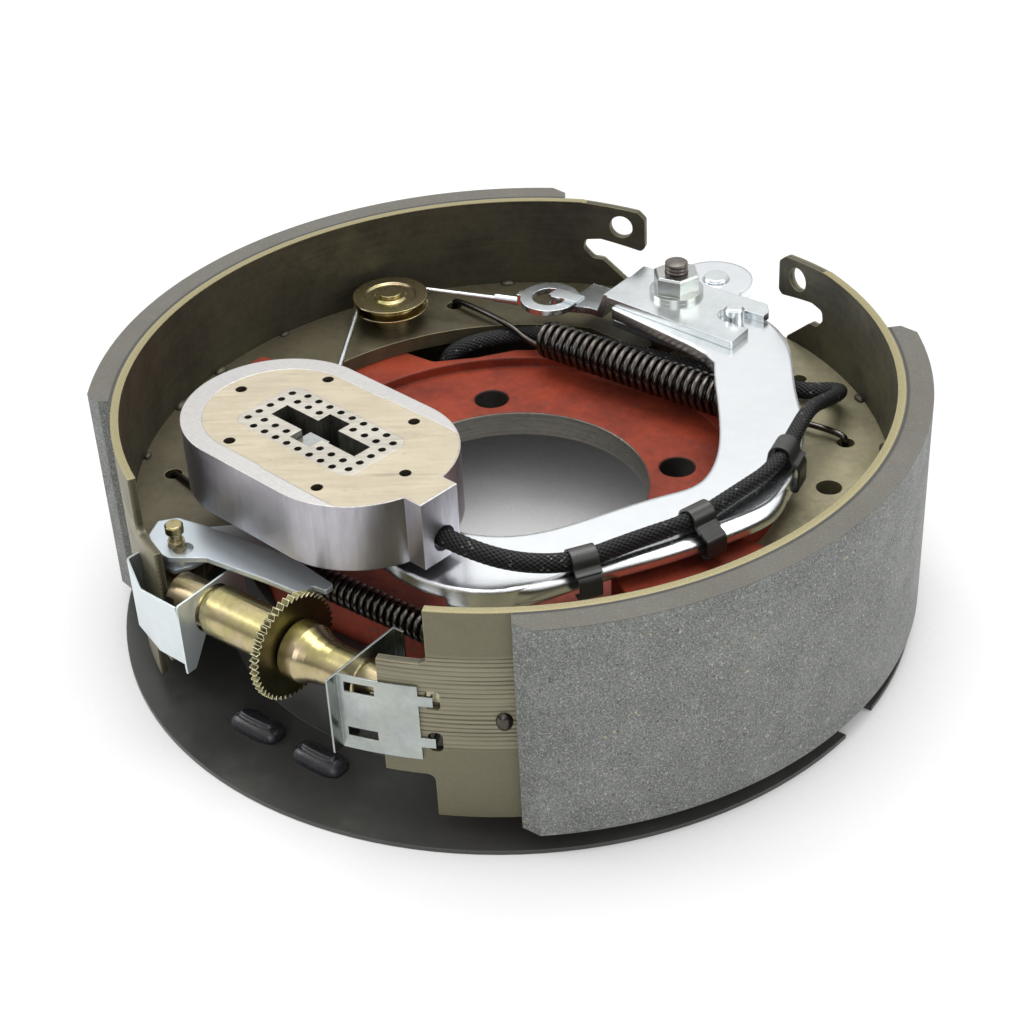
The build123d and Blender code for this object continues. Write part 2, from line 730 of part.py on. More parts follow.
sleeve_line = [(-48.5, 0), (-48.5, R_NECK), (-31, R_NECK), (-30, 9.3), (-1, 9.3), (0, 8.3)]
sleeve_line += [(0, BORE), (-24, BORE), (-24, 0)]
nut_line = [(48.5, 0), (48.5, R_NUB), (34.5, R_NUB), (34, 7.7), (24, 7.7), (20.5, 8.0), (17, 8.8)]
nut_line += [(14.5, 9.8), (13, 10.6), (7, 10.6), (6.2, 9.8), (6.2, BORE), (20, BORE), (20, 0)]
adjuster_sleeve = forked(sleeve_line, -53, 0.5 - WEB_END_X)
save(adjuster_sleeve, "adjuster_sleeve")
adjuster_nut = forked(nut_line, WEB_END_X - 0.5, 53)
save(adjuster_nut, "adjuster_nut")

TEETH = 48
ring = []
for k in range(TEETH):
    a = 2 * math.pi * k / TEETH
    b = a + math.pi * 1.3 / TEETH
    ring += [(19.5 * math.cos(a), 19.5 * math.sin(a)), (17.9 * math.cos(b), 17.9 * math.sin(b))]
with BuildPart() as star_wheel:
    with BuildSketch(axis_plane.offset(STAR_X - 1.5)):
        with BuildLine():
            Polyline(*ring, close=True)
        make_face()
    extrude(amount=3)
    with BuildSketch(axis_plane.offset(-22)):
        Circle(R_SCREW)
    extrude(amount=40)
save(star_wheel, "star_wheel")

# Adjuster lever, its link plate and their pin
PIN = (-55.5, -120.5)
with BuildPart() as adjuster_lever:
    with BuildSketch(Plane.XY.offset(30)):
        with BuildLine():
            Polyline(
                (-67, -108.5),
                (-71.5, -114),
                (-68, -122),
                (-60, -127.5),
                (-52.5, -128),
                (-41, -120.5),
                (-15, -118),
                (0.8, -117.3),
                (0.8, -111.8),
                (6.5, -111.3),
                (6.5, -107.2),
                (-16.7, -103.2),
                (-55, -106.5),
                close=True,
            )
        make_face()
        fillet(vertices(), 1.2)
        with Locations(PIN):
            Circle(3 + RUN, mode=Mode.SUBTRACT)
        with Locations((PIN[0] + 3.6, PIN[1] - 0.5)):
            Circle(3.6, mode=Mode.SUBTRACT)
    extrude(amount=2)
    with BuildSketch(Plane.XY.offset(25.8)):
        with Locations(PIN):
            Circle(6)
            Circle(3 + RUN, mode=Mode.SUBTRACT)
    extrude(amount=4.2)
save(adjuster_lever, "adjuster_lever")

HOOK = (-27.5, -95.5)
with BuildPart() as lever_link:
    with BuildSketch(Plane.XY.offset(24.2)):
        with BuildLine():
            Polyline(
                (-60, -100),
                (-50, -91),
                (-24, -91),
                (-22.8, -99),
                (-40, -101),
                (-47, -111),
                (-48.5, -121),
                (-52, -127),
                (-60, -126),
                (-63, -117),
                close=True,
            )
        make_face()
        fillet(vertices(), 2.5)
        with Locations(PIN):
            Circle(3 + RUN, mode=Mode.SUBTRACT)
    extrude(amount=1.6)
save(lever_link, "lever_link")

with BuildPart() as lever_pin:
    with Locations((*PIN, WEB_Z + WEB_T)):
        Cylinder(3, 13, align=(Align.CENTER, Align.CENTER, Align.MIN))
        Cylinder(5, 3, align=(Align.CENTER, Align.CENTER, Align.MIN))
    with Locations((*PIN, 34)):
        Cylinder(2.3, 3.4, align=(Align.CENTER, Align.CENTER, Align.MIN))
    with Locations((*PIN, 37.4)):
        Cylinder(3.3, 3.4, align=(Align.CENTER, Align.CENTER, Align.MIN))
    chamfer(lever_pin.faces().sort_by(Axis.Z)[-1].edges(), 0.5)
save(lever_pin, "lever_pin")

# Pulley and post
with BuildPart() as guide_post:
    with Locations((*PULLEY, WEB_Z + WEB_T)):
        Cylinder(8, 7.9, align=(Align.CENTER, Align.CENTER, Align.MIN))
        Cylinder(3, 14.2, align=(Align.CENTER, Align.CENTER, Align.MIN))
    with Locations((*PULLEY, 34.1)):
        Cylinder(4.6, 1.3, align=(Align.CENTER, Align.CENTER, Align.MIN))
save(guide_post, "guide_post")

with BuildPart() as cable_guide:
    with BuildSketch(Plane.XZ):
        with BuildLine():
            Polyline(
                (3 + RUN, 29),
                (15.75, 29),
                (15.75, 29.6),
                (R_GROOVE - R_CABLE - 0.1, 30.1),
                (R_GROOVE - R_CABLE - 0.1, 32.9),
                (15.75, 33.4),
                (15.75, 34),
                (11, 34),
                (10.2, 33.3),
                (7, 33.3),
                (6.2, 34),
                (3 + RUN, 34),
                close=True,
            )
        make_face()
    revolve(axis=Axis.Z)
cable_guide.part = Location((*PULLEY, 0)) * cable_guide.part
save(cable_guide, "cable_guide")

# Cable: from the eye's crimp round the pulley's outer side and down to the link plate

def tangent_line(point, side_sign):
    # Touch point on the groove circle of the line from a point, on the outer side.
    dx = point[0] - PULLEY[0]
    dy = point[1] - PULLEY[1]
    dist = math.hypot(dx, dy)
    base = math.atan2(dy, dx)
    turn = math.acos(R_GROOVE / dist)
    a = base + side_sign * turn
    return (PULLEY[0] + R_GROOVE * math.cos(a), PULLEY[1] + R_GROOVE * math.sin(a))


touch_a = tangent_line(EYE, 1)
touch_b = tangent_line(HOOK, -1)


def meet(p, q, u, v):
    # Where the line p-q crosses the line u-v, in plan.
    d1 = (q[0] - p[0], q[1] - p[1])
    d2 = (v[0] - u[0], v[1] - u[1])
    t = ((u[0] - p[0]) * d2[1] - (u[1] - p[1]) * d2[0]) / (d1[0] * d2[1] - d1[1] * d2[0])
    return (p[0] + t * d1[0], p[1] + t * d1[1])


corner = meet(EYE, touch_a, HOOK, touch_b)


def between(p, q, t, dz, z0):
    return (p[0] + (q[0] - p[0]) * t, p[1] + (q[1] - p[1]) * t, z0 + dz)


cable_route = [
    between(EYE, corner, 24.1 / math.dist(EYE, corner), 0, CABLE_Z + 0.4),
    (*corner, CABLE_Z),
    between(corner, HOOK, 0.32, 0, CABLE_Z - 0.5),
    between(corner, HOOK, 0.62, 0, CABLE_Z - 1.6),
    between(corner, HOOK, 0.9, 0, CABLE_Z - 3.4),
]
radii = soften(cable_route, False)
radii[0] = R_GROOVE
radii = [radii[0]] + [min(r, 300) for r in radii[1:]]
print("cable radii", [round(r, 1) for r in radii])
with BuildPart() as adjuster_cable:
    with BuildLine() as cable_line:
        FilletPolyline(*cable_route, radius=radii)
    with BuildSketch(Plane(origin=cable_route[0], z_dir=cable_line.line % 0)):
        Circle(R_CABLE)
    sweep()
print("cable", adjuster_cable.part.volume, cable_line.wires()[0].length * math.pi * R_CABLE**2)
save(adjuster_cable, "adjuster_cable")

along = Vector(corner[0] - EYE[0], corner[1] - EYE[1], 0).normalized()
across = Vector(-along.Y, along.X, 0)
with BuildPart() as cable_eye:
    with BuildSketch(Plane.XY.offset(EYE_Z)):
        with Locations(EYE):
            Circle(R_EYE)
            Circle(R_EYE_IN, mode=Mode.SUBTRACT)
    extrude(amount=EYE_T)
    start = Vector(EYE[0], EYE[1], CABLE_Z + 0.4) + along * (R_EYE - 1)
    with BuildSketch(Plane(origin=start + Vector(0, 0, 0), x_dir=across, z_dir=along)):
        Circle(2)
    extrude(amount=25 - R_EYE)
    with BuildSketch(Plane(origin=start, x_dir=across, z_dir=along)):
        with Locations((0, (EYE_Z + EYE_T - CABLE_Z - 1.4) / 2)):
            Rectangle(4, EYE_Z + EYE_T - CABLE_Z + 0.6)
    extrude(amount=2.5, mode=Mode.ADD)
save(cable_eye, "cable_eye")

with BuildPart() as cable_hook:
    with Locations((HOOK[0], HOOK[1], 25.8)):
        Cylinder(2.4, 4.6, align=(Align.CENTER, Align.CENTER, Align.MIN))
save(cable_hook, "cable_hook")


# Springs: ribbed coil bodies along X with wire hooks into the webs
def spring(x0, x1, y, z, r_out, wire, ribs, hooks):
    step = (x1 - x0) / ribs
    outline = [(x0, r_out - wire * 1.6)]
    for k in range(ribs):
        outline += [(x0 + step * k, r_out - wire * 0.5), (x0 + step * (k + 0.5), r_out)]
    outline += [(x1, r_out - wire * 0.5), (x1, r_out - wire * 1.6)]
    with BuildPart() as piece:
        with BuildSketch(Plane(origin=(0, y, z), x_dir=(1, 0, 0), z_dir=(0, 1, 0))):
            with BuildLine():
                Polyline(*outline, close=True)
            make_face()
        revolve(axis=Axis((0, y, z), (1, 0, 0)))
        for points in hooks:
            with BuildLine() as path:
                FilletPolyline(*points, radius=[0.6 * q for q in soften(points, False)])
            with BuildSketch(Plane(origin=points[0], z_dir=path.line % 0)):
                Circle(wire / 2)
            sweep(path=path.wires()[0])
    return piece


upper_left = [(-42, 78, 17.6), (-50, 78, 20.5), (-62, 79, 24.4), (-93.3, 83, 24.4), (-94.3, 83.2, 17)]
upper_right = [(53, 78, 17.6), (61, 78, 20.5), (72, 79, 24.4), (97, 80.5, 24.4), (97.9, 80.7, 17)]
upper_spring = spring(-44, 55, 78, 24, 8.2, 2.5, 10, [upper_left, upper_right])
save(upper_spring, "upper_spring")

low_left = [(-16, -97, 16.4), (-24, -96, 18.6), (-38, -92.5, 22.7), (-101, -78.2, 22.7), (-102, -78, 17)]
low_right = [(43, -97, 16.4), (49, -96, 18.6), (56, -93.3, 22.7), (101, -78.2, 22.7), (102, -78, 17)]
lower_spring = spring(-18, 45, -97, 20.6, 5.5, 2.2, 8, [low_left, low_right])
save(lower_spring, "lower_spring")
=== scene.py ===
"""Looks of an electric trailer brake assembly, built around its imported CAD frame."""

import logging
import math
from dataclasses import dataclass, field
from enum import Enum
from typing import Callable, Mapping, Sequence

import bmesh
import bpy
import numpy as np
from bpy.types import Material, Mesh, Node, NodeTree, Object, World
from bpy.types import NodeSocket as Socket
from mathutils import Matrix, Vector


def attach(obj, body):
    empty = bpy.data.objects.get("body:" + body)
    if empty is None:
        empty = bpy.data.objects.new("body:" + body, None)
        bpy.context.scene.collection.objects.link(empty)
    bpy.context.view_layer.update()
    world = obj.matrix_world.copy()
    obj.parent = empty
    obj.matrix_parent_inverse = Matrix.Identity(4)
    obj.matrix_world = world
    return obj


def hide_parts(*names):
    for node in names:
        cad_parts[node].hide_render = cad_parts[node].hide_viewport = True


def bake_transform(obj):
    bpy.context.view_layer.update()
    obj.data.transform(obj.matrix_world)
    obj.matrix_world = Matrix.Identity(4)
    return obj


LOG = logging.getLogger("brake")
MM = 0.001
UP = np.array([0.0, 0.0, 1.0])
LEVEL = np.array([1.0, 1.0, 0.0])
FULL_TURN = 2 * np.pi
Colour = tuple[float, float, float]
Point = tuple[float, float, float]
Flat = tuple[float, float]
Value = float | Point | Socket
Sockets = Mapping[str, Socket]
Array = np.ndarray

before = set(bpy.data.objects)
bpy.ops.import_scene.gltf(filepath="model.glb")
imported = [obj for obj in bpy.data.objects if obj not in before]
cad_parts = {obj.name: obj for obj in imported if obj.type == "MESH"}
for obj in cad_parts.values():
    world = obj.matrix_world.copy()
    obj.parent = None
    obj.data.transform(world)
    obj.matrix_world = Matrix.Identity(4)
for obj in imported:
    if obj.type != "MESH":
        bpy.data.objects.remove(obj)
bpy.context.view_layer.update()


class Body(str, Enum):
    """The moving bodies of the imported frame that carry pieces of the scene."""

    BACKING = "backing"
    LEVER = "lever"
    SECONDARY = "secondary_shoe"
    PRIMARY = "primary_shoe"
    PAWL = "pawl"


# Shader helpers


@dataclass
class Graph:
    """A node tree with short calls for the nodes that the finishes use."""

    tree: NodeTree

    def put(self, node: Node, key: str | int, value: Value) -> None:
        """Sets a socket, by name or number, to a number, colour or vector, or links another socket to it."""
        named = [s for s in node.inputs if s.name == key and s.enabled]
        socket = named[0] if named else node.inputs[key]
        if isinstance(value, Socket):
            self.tree.links.new(value, socket)
        else:
            socket.default_value = (*value, 1) if socket.type == "RGBA" else value

    def add(self, kind: str, *sockets: Value, **values: object) -> Node:
        """Adds a node and sets its plain properties and its sockets.

        Args:
            kind: the node's type name after ShaderNode.
            sockets: values of the first sockets, in order.
            values: properties, or sockets by their name with spaces as underscores.

        Returns:
            The new node.
        """
        node = self.tree.nodes.new("ShaderNode" + kind)
        for name, value in values.items():
            if hasattr(node, name):
                setattr(node, name, value)
            else:
                self.put(node, name.replace("_", " "), value)
        for index, value in enumerate(sockets):
            self.put(node, index, value)
        return node

    def math(self, operation: str, a: Value, b: Value = 0.0) -> Socket:
        """Returns the result of a Math node."""
        return self.add("Math", a, b, operation=operation).outputs[0]

    def times(self, a: Value, b: Value) -> Socket:
        """Returns a times b."""
        return self.math("MULTIPLY", a, b)

    def plus(self, a: Value, b: Value) -> Socket:
        """Returns a plus b."""
        return self.math("ADD", a, b)

    def vector(self, operation: str, a: Value, b: Value = (0.0, 0.0, 0.0)) -> Socket:
        """Returns the result of a Vector Math node, which is a number for a dot product."""
        node = self.add("VectorMath", a, b, operation=operation)
        return node.outputs["Value" if operation == "DOT_PRODUCT" else "Vector"]

    def mix(self, share: Value, a: Value, b: Value) -> Socket:
        """Returns a colour mixed from a to b by share."""
        node = self.add("Mix", share, data_type="RGBA")
        self.put(node, 6, a)
        self.put(node, 7, b)
        return node.outputs[2]

    def stain(self, tone: Value, mask: Value, weight: float, colour: Value) -> Socket:
        """Returns a tone mixed towards a colour by a mask of the given weight."""
        return self.mix(self.times(mask, weight), tone, colour)

    def span(self, value: Value, low: float, high: float, to_low: float = 0.0, to_high: float = 1.0) -> Socket:
        """Returns a value mapped from one range to another and held at its ends."""
        return self.add("MapRange", value, low, high, to_low, to_high, clamp=True).outputs[0]

    def place(self) -> Socket:
        """Returns the Object coordinates, in metres in the row frame."""
        return self.add("TexCoord").outputs["Object"]

    def polar(self, vector: Socket) -> tuple[Socket, Socket]:
        """Returns the distance from the Z axis and the height."""
        parts = self.add("SeparateXYZ", vector)
        squares = [self.math("POWER", parts.outputs[k], 2.0) for k in (0, 1)]
        return self.math("SQRT", self.plus(*squares)), parts.outputs[2]

    def noise(self, vector: Value, scale: Value, detail: float = 3.0, roughness: float = 0.5) -> Socket:
        """Returns a noise value."""
        return self.add("TexNoise", Vector=vector, Scale=scale, Detail=detail, Roughness=roughness).outputs[0]


def cleared(owner: Material | World) -> Graph:
    """Empties the node tree of a material or world and returns it."""
    owner.use_nodes = True
    owner.node_tree.nodes.clear()
    return Graph(owner.node_tree)


@dataclass(frozen=True)
class Effect:
    """A surface effect that several finishes share, as a node group with one output.

    An input whose default is a number is a float socket; any other is a vector one, left at nought for None.
    """

    name: str
    output: str
    make: Callable[[Graph, Sockets], Socket]
    inputs: Mapping[str, float | Point | None]

    def tree(self) -> NodeTree:
        """Builds the node group."""
        tree = bpy.data.node_groups.new(self.name, "ShaderNodeTree")
        for title, default in self.inputs.items():
            kind = "NodeSocketFloat" if isinstance(default, float) else "NodeSocketVector"
            socket = tree.interface.new_socket(title, in_out="INPUT", socket_type=kind)
            if default is not None:
                socket.default_value = default
        kind = "NodeSocketVector" if self.output == "Normal" else "NodeSocketFloat"
        tree.interface.new_socket(self.output, in_out="OUTPUT", socket_type=kind)
        g = Graph(tree)
        start, end = tree.nodes.new("NodeGroupInput"), tree.nodes.new("NodeGroupOutput")
        g.put(end, self.output, self.make(g, start.outputs))
        return tree


def make_mottle(g: Graph, ins: Sockets) -> Socket:
    """Two noises of different size, added and held between two levels, as a mask."""
    coarse = g.noise(ins["Vector"], ins["Scale"], 4.0, 0.6)
    fine = g.noise(ins["Vector"], g.times(ins["Scale"], 7.3), 5.0, 0.7)
    both = g.plus(g.times(coarse, 0.68), g.times(fine, 0.32))
    ramp = g.add("MapRange", both, ins["Low"], ins["High"], clamp=True, interpolation_type="SMOOTHSTEP")
    return ramp.outputs[0]


def make_lines(g: Graph, ins: Sockets) -> Socket:
    """Noise on a squeezed place, so that it runs out into fine lines, as a height."""
    return g.noise(g.vector("MULTIPLY", ins["Vector"], ins["Squeeze"]), ins["Scale"], 6.0, 0.65)


def make_specks(g: Graph, ins: Sockets) -> Socket:
    """Cells of which a share, chosen by each cell's own random value, show a round speck, as a mask."""
    cells = g.add("TexVoronoi", Vector=ins["Vector"], Scale=ins["Scale"])
    split = g.add("SeparateColor", cells.outputs["Color"])
    chosen = g.math("LESS_THAN", split.outputs[0], ins["Share"])
    size = g.times(ins["Size"], g.plus(split.outputs[1], 0.4))
    return g.times(chosen, g.math("LESS_THAN", cells.outputs["Distance"], size))


def make_worn_edge(g: Graph, ins: Sockets) -> Socket:
    """How far the rounded normal leans from the face's own normal, broken up by noise, as a mask."""
    bevel = g.add("Bevel", samples=6, Radius=ins["Width"])
    dot = g.vector("DOT_PRODUCT", bevel.outputs[0], g.add("NewGeometry").outputs["Normal"])
    lean = g.times(g.math("SUBTRACT", 1.0, dot), ins["Gain"])
    return g.span(g.times(lean, g.plus(g.noise(ins["Vector"], ins["Break"], 4.0), 0.35)), 0.15, 0.8)


def make_soft_edge(g: Graph, ins: Sockets) -> Socket:
    """The rounded normal at edges with a height's relief on it, as a normal."""
    bevel = g.add("Bevel", samples=6, Radius=ins["Radius"])
    bump = g.add("Bump", Strength=1.0, Height=ins["Height"], Distance=ins["Depth"], Normal=bevel.outputs[0])
    return bump.outputs[0]


MOTTLE = Effect("mottle", "Mask", make_mottle, {"Vector": None, "Scale": 60.0, "Low": 0.35, "High": 0.65})
LINES = Effect("lines", "Height", make_lines, {"Vector": None, "Squeeze": (1.0, 1.0, 1.0), "Scale": 40.0})
SPECKS = Effect("specks", "Mask", make_specks, {"Vector": None, "Scale": 500.0, "Share": 0.2, "Size": 0.35})
WORN_EDGE = Effect(
    "worn_edge", "Mask", make_worn_edge, {"Vector": None, "Width": 0.001, "Break": 400.0, "Gain": 6.0}
)
SOFT_EDGE = Effect("soft_edge", "Normal", make_soft_edge, {"Radius": 0.0005, "Height": 0.5, "Depth": 0.0001})


@dataclass
class Brush(Graph):
    """A material's node tree with its shader, the shared node groups and the place on the surface."""

    shader: Node
    groups: dict[str, NodeTree]
    spot: Socket

    def use(self, effect: Effect, **values: Value) -> Socket:
        """Returns a shared effect's output, at the place on the surface unless a vector is given."""
        if effect.name not in self.groups:
            self.groups[effect.name] = effect.tree()
        if "Vector" in effect.inputs:
            values.setdefault("Vector", self.spot)
        return self.add("Group", node_tree=self.groups[effect.name], **values).outputs[0]

    def turned(self, degrees: float) -> Socket:
        """Returns the place turned about Z."""
        return self.add("Mapping", Vector=self.spot, Rotation=(0.0, 0.0, math.radians(degrees))).outputs[0]

    def fill(self, tone: Value, roughness: Value, metallic: Value, relief: Value, edge: float, depth: float) -> None:
        """Sets the shader.

        Args:
            tone: its colour.
            roughness: its roughness.
            metallic: its metallic share.
            relief: the height of the surface's relief.
            edge: the radius at which edges look rounded, in metres.
            depth: the relief's depth, in metres.
        """
        normal = self.use(SOFT_EDGE, Radius=edge, Height=relief, Depth=depth)
        sockets = {"Base Color": tone, "Roughness": roughness, "Metallic": metallic, "Normal": normal}
        for name, value in sockets.items():
            self.put(self.shader, name, value)


def dim(colour: Colour, share: float) -> Colour:
    """A colour times a share."""
    return tuple(share * c for c in colour)


@dataclass(frozen=True)
class Finish:
    """A plain base for every finish: its name and how its shader is built."""

    name: str

    def material(self, groups: dict[str, NodeTree]) -> Material:
        """Builds the Blender material.

        Args:
            groups: the shared node groups made so far, by name.

        Returns:
            The material.
        """
        made = bpy.data.materials.new(self.name)
        graph = cleared(made)
        shader = graph.add("BsdfPrincipled")
        self.paint(Brush(graph.tree, shader, groups, graph.place()))
        graph.add("OutputMaterial", Surface=shader.outputs[0])
        return made

    def paint(self, b: Brush) -> None:
        """Fills in the shader."""
        raise NotImplementedError


@dataclass(frozen=True)
class PlatedMetal(Finish):
    """Plated or bare steel with faint clouds, fine lines, a second tint and rounded edges."""

    light: Colour
    dark: Colour
    roughness: float = 0.3
    patch: float = 26.0
    edge: float = 0.0004
    depth: float = 0.00001
    tint: Colour = (0.8, 0.84, 0.88)
    tinted: float = 0.25
    metallic: float = 1.0
    rubbed: float = 0.0
    wear_and_glint_tone: Colour = (0.8, 0.76, 0.52)

    def paint(self, b: Brush) -> None:
        """Mixes light and dark by wide soft clouds, with a tint in other clouds, and roughens where it is dark."""
        cloud = b.use(MOTTLE, Scale=self.patch, Low=0.25, High=0.75)
        wide = b.noise(b.vector("MULTIPLY", b.spot, (1.0, 1.6, 0.7)), self.patch * 1.3, 1.0)
        lines = b.use(LINES, Scale=300.0)
        tone = b.mix(b.span(wide, 0.4, 0.62, 0, self.tinted), b.mix(cloud, self.dark, self.light), self.tint)
        # Edges painted lighter: partly real rubbing wear, partly painted highlight on the edges.
        if self.rubbed:
            tone = b.stain(tone, b.use(WORN_EDGE, Width=0.0006, Break=300.0), self.rubbed, self.wear_and_glint_tone)
        base = b.span(cloud, 0, 1, self.roughness + 0.05, self.roughness)
        rough = b.plus(base, b.span(lines, 0.3, 0.7, -0.02, 0.03))
        b.fill(tone, rough, self.metallic, lines, self.edge, self.depth)


@dataclass(frozen=True)
class Primer(Finish):
    """Brushed-on primer on a casting, with the machined bore left bare and painted shade in the bolt holes."""

    coat: Colour
    shade: Colour
    steel: Colour
    bore_m: float = 0.0524
    bolt_m: float = 0.04525
    hole_m: float = 0.0071
    painted_hole_shade: Colour = (0.022, 0.018, 0.015)
    chip_tone: Colour = (0.09, 0.035, 0.03)
    edge_tone: Colour = (0.2, 0.09, 0.06)

    def paint(self, b: Brush) -> None:
        """Red coat with darker blotches and cast bumps; inside the bore's radius bare turned steel."""
        bare = b.math("LESS_THAN", b.polar(b.spot)[0], self.bore_m)
        # The bolt holes' walls are painted near-black: painted shade inside the holes.
        centred = b.vector("SUBTRACT", b.vector("ABSOLUTE", b.spot), (self.bolt_m, self.bolt_m, 0.0))
        hole = b.math("LESS_THAN", b.polar(centred)[0], self.hole_m)
        blotch = b.use(MOTTLE, Scale=34.0, Low=0.34, High=0.66)
        coat = b.mix(blotch, self.shade, self.coat)
        coat = b.stain(coat, b.use(SPECKS, Scale=330.0, Share=0.05, Size=0.4), 0.45, self.chip_tone)
        coat = b.stain(coat, b.use(WORN_EDGE, Width=0.0012, Gain=4.0), 0.4, self.edge_tone)
        rings = b.use(LINES, Squeeze=(0.1, 0.1, 5.0), Scale=150.0)
        steel = b.mix(b.span(rings, 0.35, 0.65), dim(self.steel, 0.7), self.steel)
        tone = b.mix(hole, b.mix(bare, coat, steel), self.painted_hole_shade)
        rough = b.plus(b.span(blotch, 0, 1, 0.62, 0.5), b.times(bare, -0.15))
        bumps = b.plus(b.noise(b.spot, 420.0, 4.0), b.times(b.noise(b.spot, 90.0, 2.0), 2.2))
        b.put(b.shader, "Specular IOR Level", 0.2)
        b.fill(tone, rough, b.times(bare, 0.85), bumps, edge=0.0014, depth=0.00022)


@dataclass(frozen=True)
class SatinPaint(Finish):
    """Satin paint on sheet, with dust and edges rubbed brighter."""

    coat: Colour
    rubbed: Colour
    roughness: float = 0.42
    edge: float = 0.0006

    def paint(self, b: Brush) -> None:
        """Paint colour, lighter by dust patches and where edges are rubbed."""
        dust = b.use(MOTTLE, Scale=26.0, Low=0.45, High=0.75)
        coat = b.stain(self.coat, dust, 0.35, self.rubbed)
        coat = b.stain(coat, b.use(WORN_EDGE, Width=self.edge, Gain=5.0), 0.6, self.rubbed)
        rough = b.span(dust, 0, 1, self.roughness, self.roughness + 0.16)
        b.fill(coat, rough, 0.0, b.noise(b.spot, 900.0, 2.0), self.edge, depth=0.00002)


@dataclass(frozen=True)
class Chromate(Finish):
    """Olive chromate on a shoe: drab and cloudy inside, paler and finely turned outside, pale where cut."""

    light: Colour
    dark: Colour
    turned: Colour = (0.26, 0.24, 0.165)
    cut: Colour = (0.4, 0.36, 0.22)
    skin: Colour = (0.18, 0.165, 0.108)
    outside_m: float = 0.1442
    top_m: float = 0.0597
    band_m: Flat = (0.003, 0.041)
    blend_m: float = 0.002
    groove_m: float = 0.0018

    def paint(self, b: Brush) -> None:
        """Cloudy drab metal, with turning lines beyond the outer radius and a pale sawn top."""
        radius, height = b.polar(b.spot)
        outside = b.span(radius, self.outside_m - 0.0008, self.outside_m)
        low, high = self.band_m
        band = b.times(b.span(height, low, low + self.blend_m), b.span(height, high, high + self.blend_m, 1, 0))
        cloud = b.use(MOTTLE, Scale=38.0, Low=0.32, High=0.68)
        streak = b.use(LINES, Squeeze=(0.35, 0.35, 9.0), Scale=70.0)
        shade = b.span(b.plus(b.times(cloud, 0.7), b.times(streak, 0.7)), 0.3, 1.1)
        fine = b.use(LINES, Squeeze=(0.06, 0.06, 9.0), Scale=120.0)
        grain = b.noise(b.spot, 2400.0, 4.0)
        # Turning lines: a sine of the height, shaken by fine lines and fading out in zones
        phase = b.plus(b.times(height, 2 * math.pi / self.groove_m), b.times(fine, 7.0))
        groove = b.span(b.math("SINE", phase), -1.0, -0.2)
        zone = b.span(b.noise(b.vector("MULTIPLY", b.spot, (0.1, 0.1, 1.0)), 160.0, 1.0), 0.42, 0.58, 0.35, 1.0)
        cuts = b.math("SUBTRACT", 1.0, b.times(b.math("SUBTRACT", 1.0, groove), zone))
        turned = b.mix(cuts, dim(self.turned, 0.3), self.turned)
        turned = b.mix(b.span(fine, 0.4, 0.6, 0.35, 0), turned, self.skin)
        skin = b.mix(b.span(grain, 0.3, 0.7, 0.7, 1.2), dim(self.skin, 0.3), self.skin)
        skin = b.stain(skin, cloud, 0.3, dim(self.skin, 0.6))
        tone = b.mix(outside, b.mix(shade, self.dark, self.light), b.mix(band, skin, turned))
        tone = b.stain(tone, b.use(MOTTLE, Scale=14.0, Low=0.52, High=0.72), 0.3, (0.06, 0.048, 0.03))
        sawn = b.times(b.math("GREATER_THAN", height, self.top_m), b.span(grain, 0.35, 0.65, 0.4, 0.95))
        bare = b.math("MAXIMUM", sawn, b.times(b.use(WORN_EDGE, Width=0.0007, Gain=6.0), 0.7))
        relief = b.plus(streak, b.times(grain, 0.6))
        relief = b.plus(relief, b.times(b.times(b.times(cuts, outside), band), 1.6))
        rough, metallic = b.span(shade, 0, 1, 0.56, 0.42), b.span(outside, 0, 1, 0.45, 0.6)
        b.fill(b.mix(bare, tone, self.cut), rough, metallic, relief, edge=0.0004, depth=0.00009)


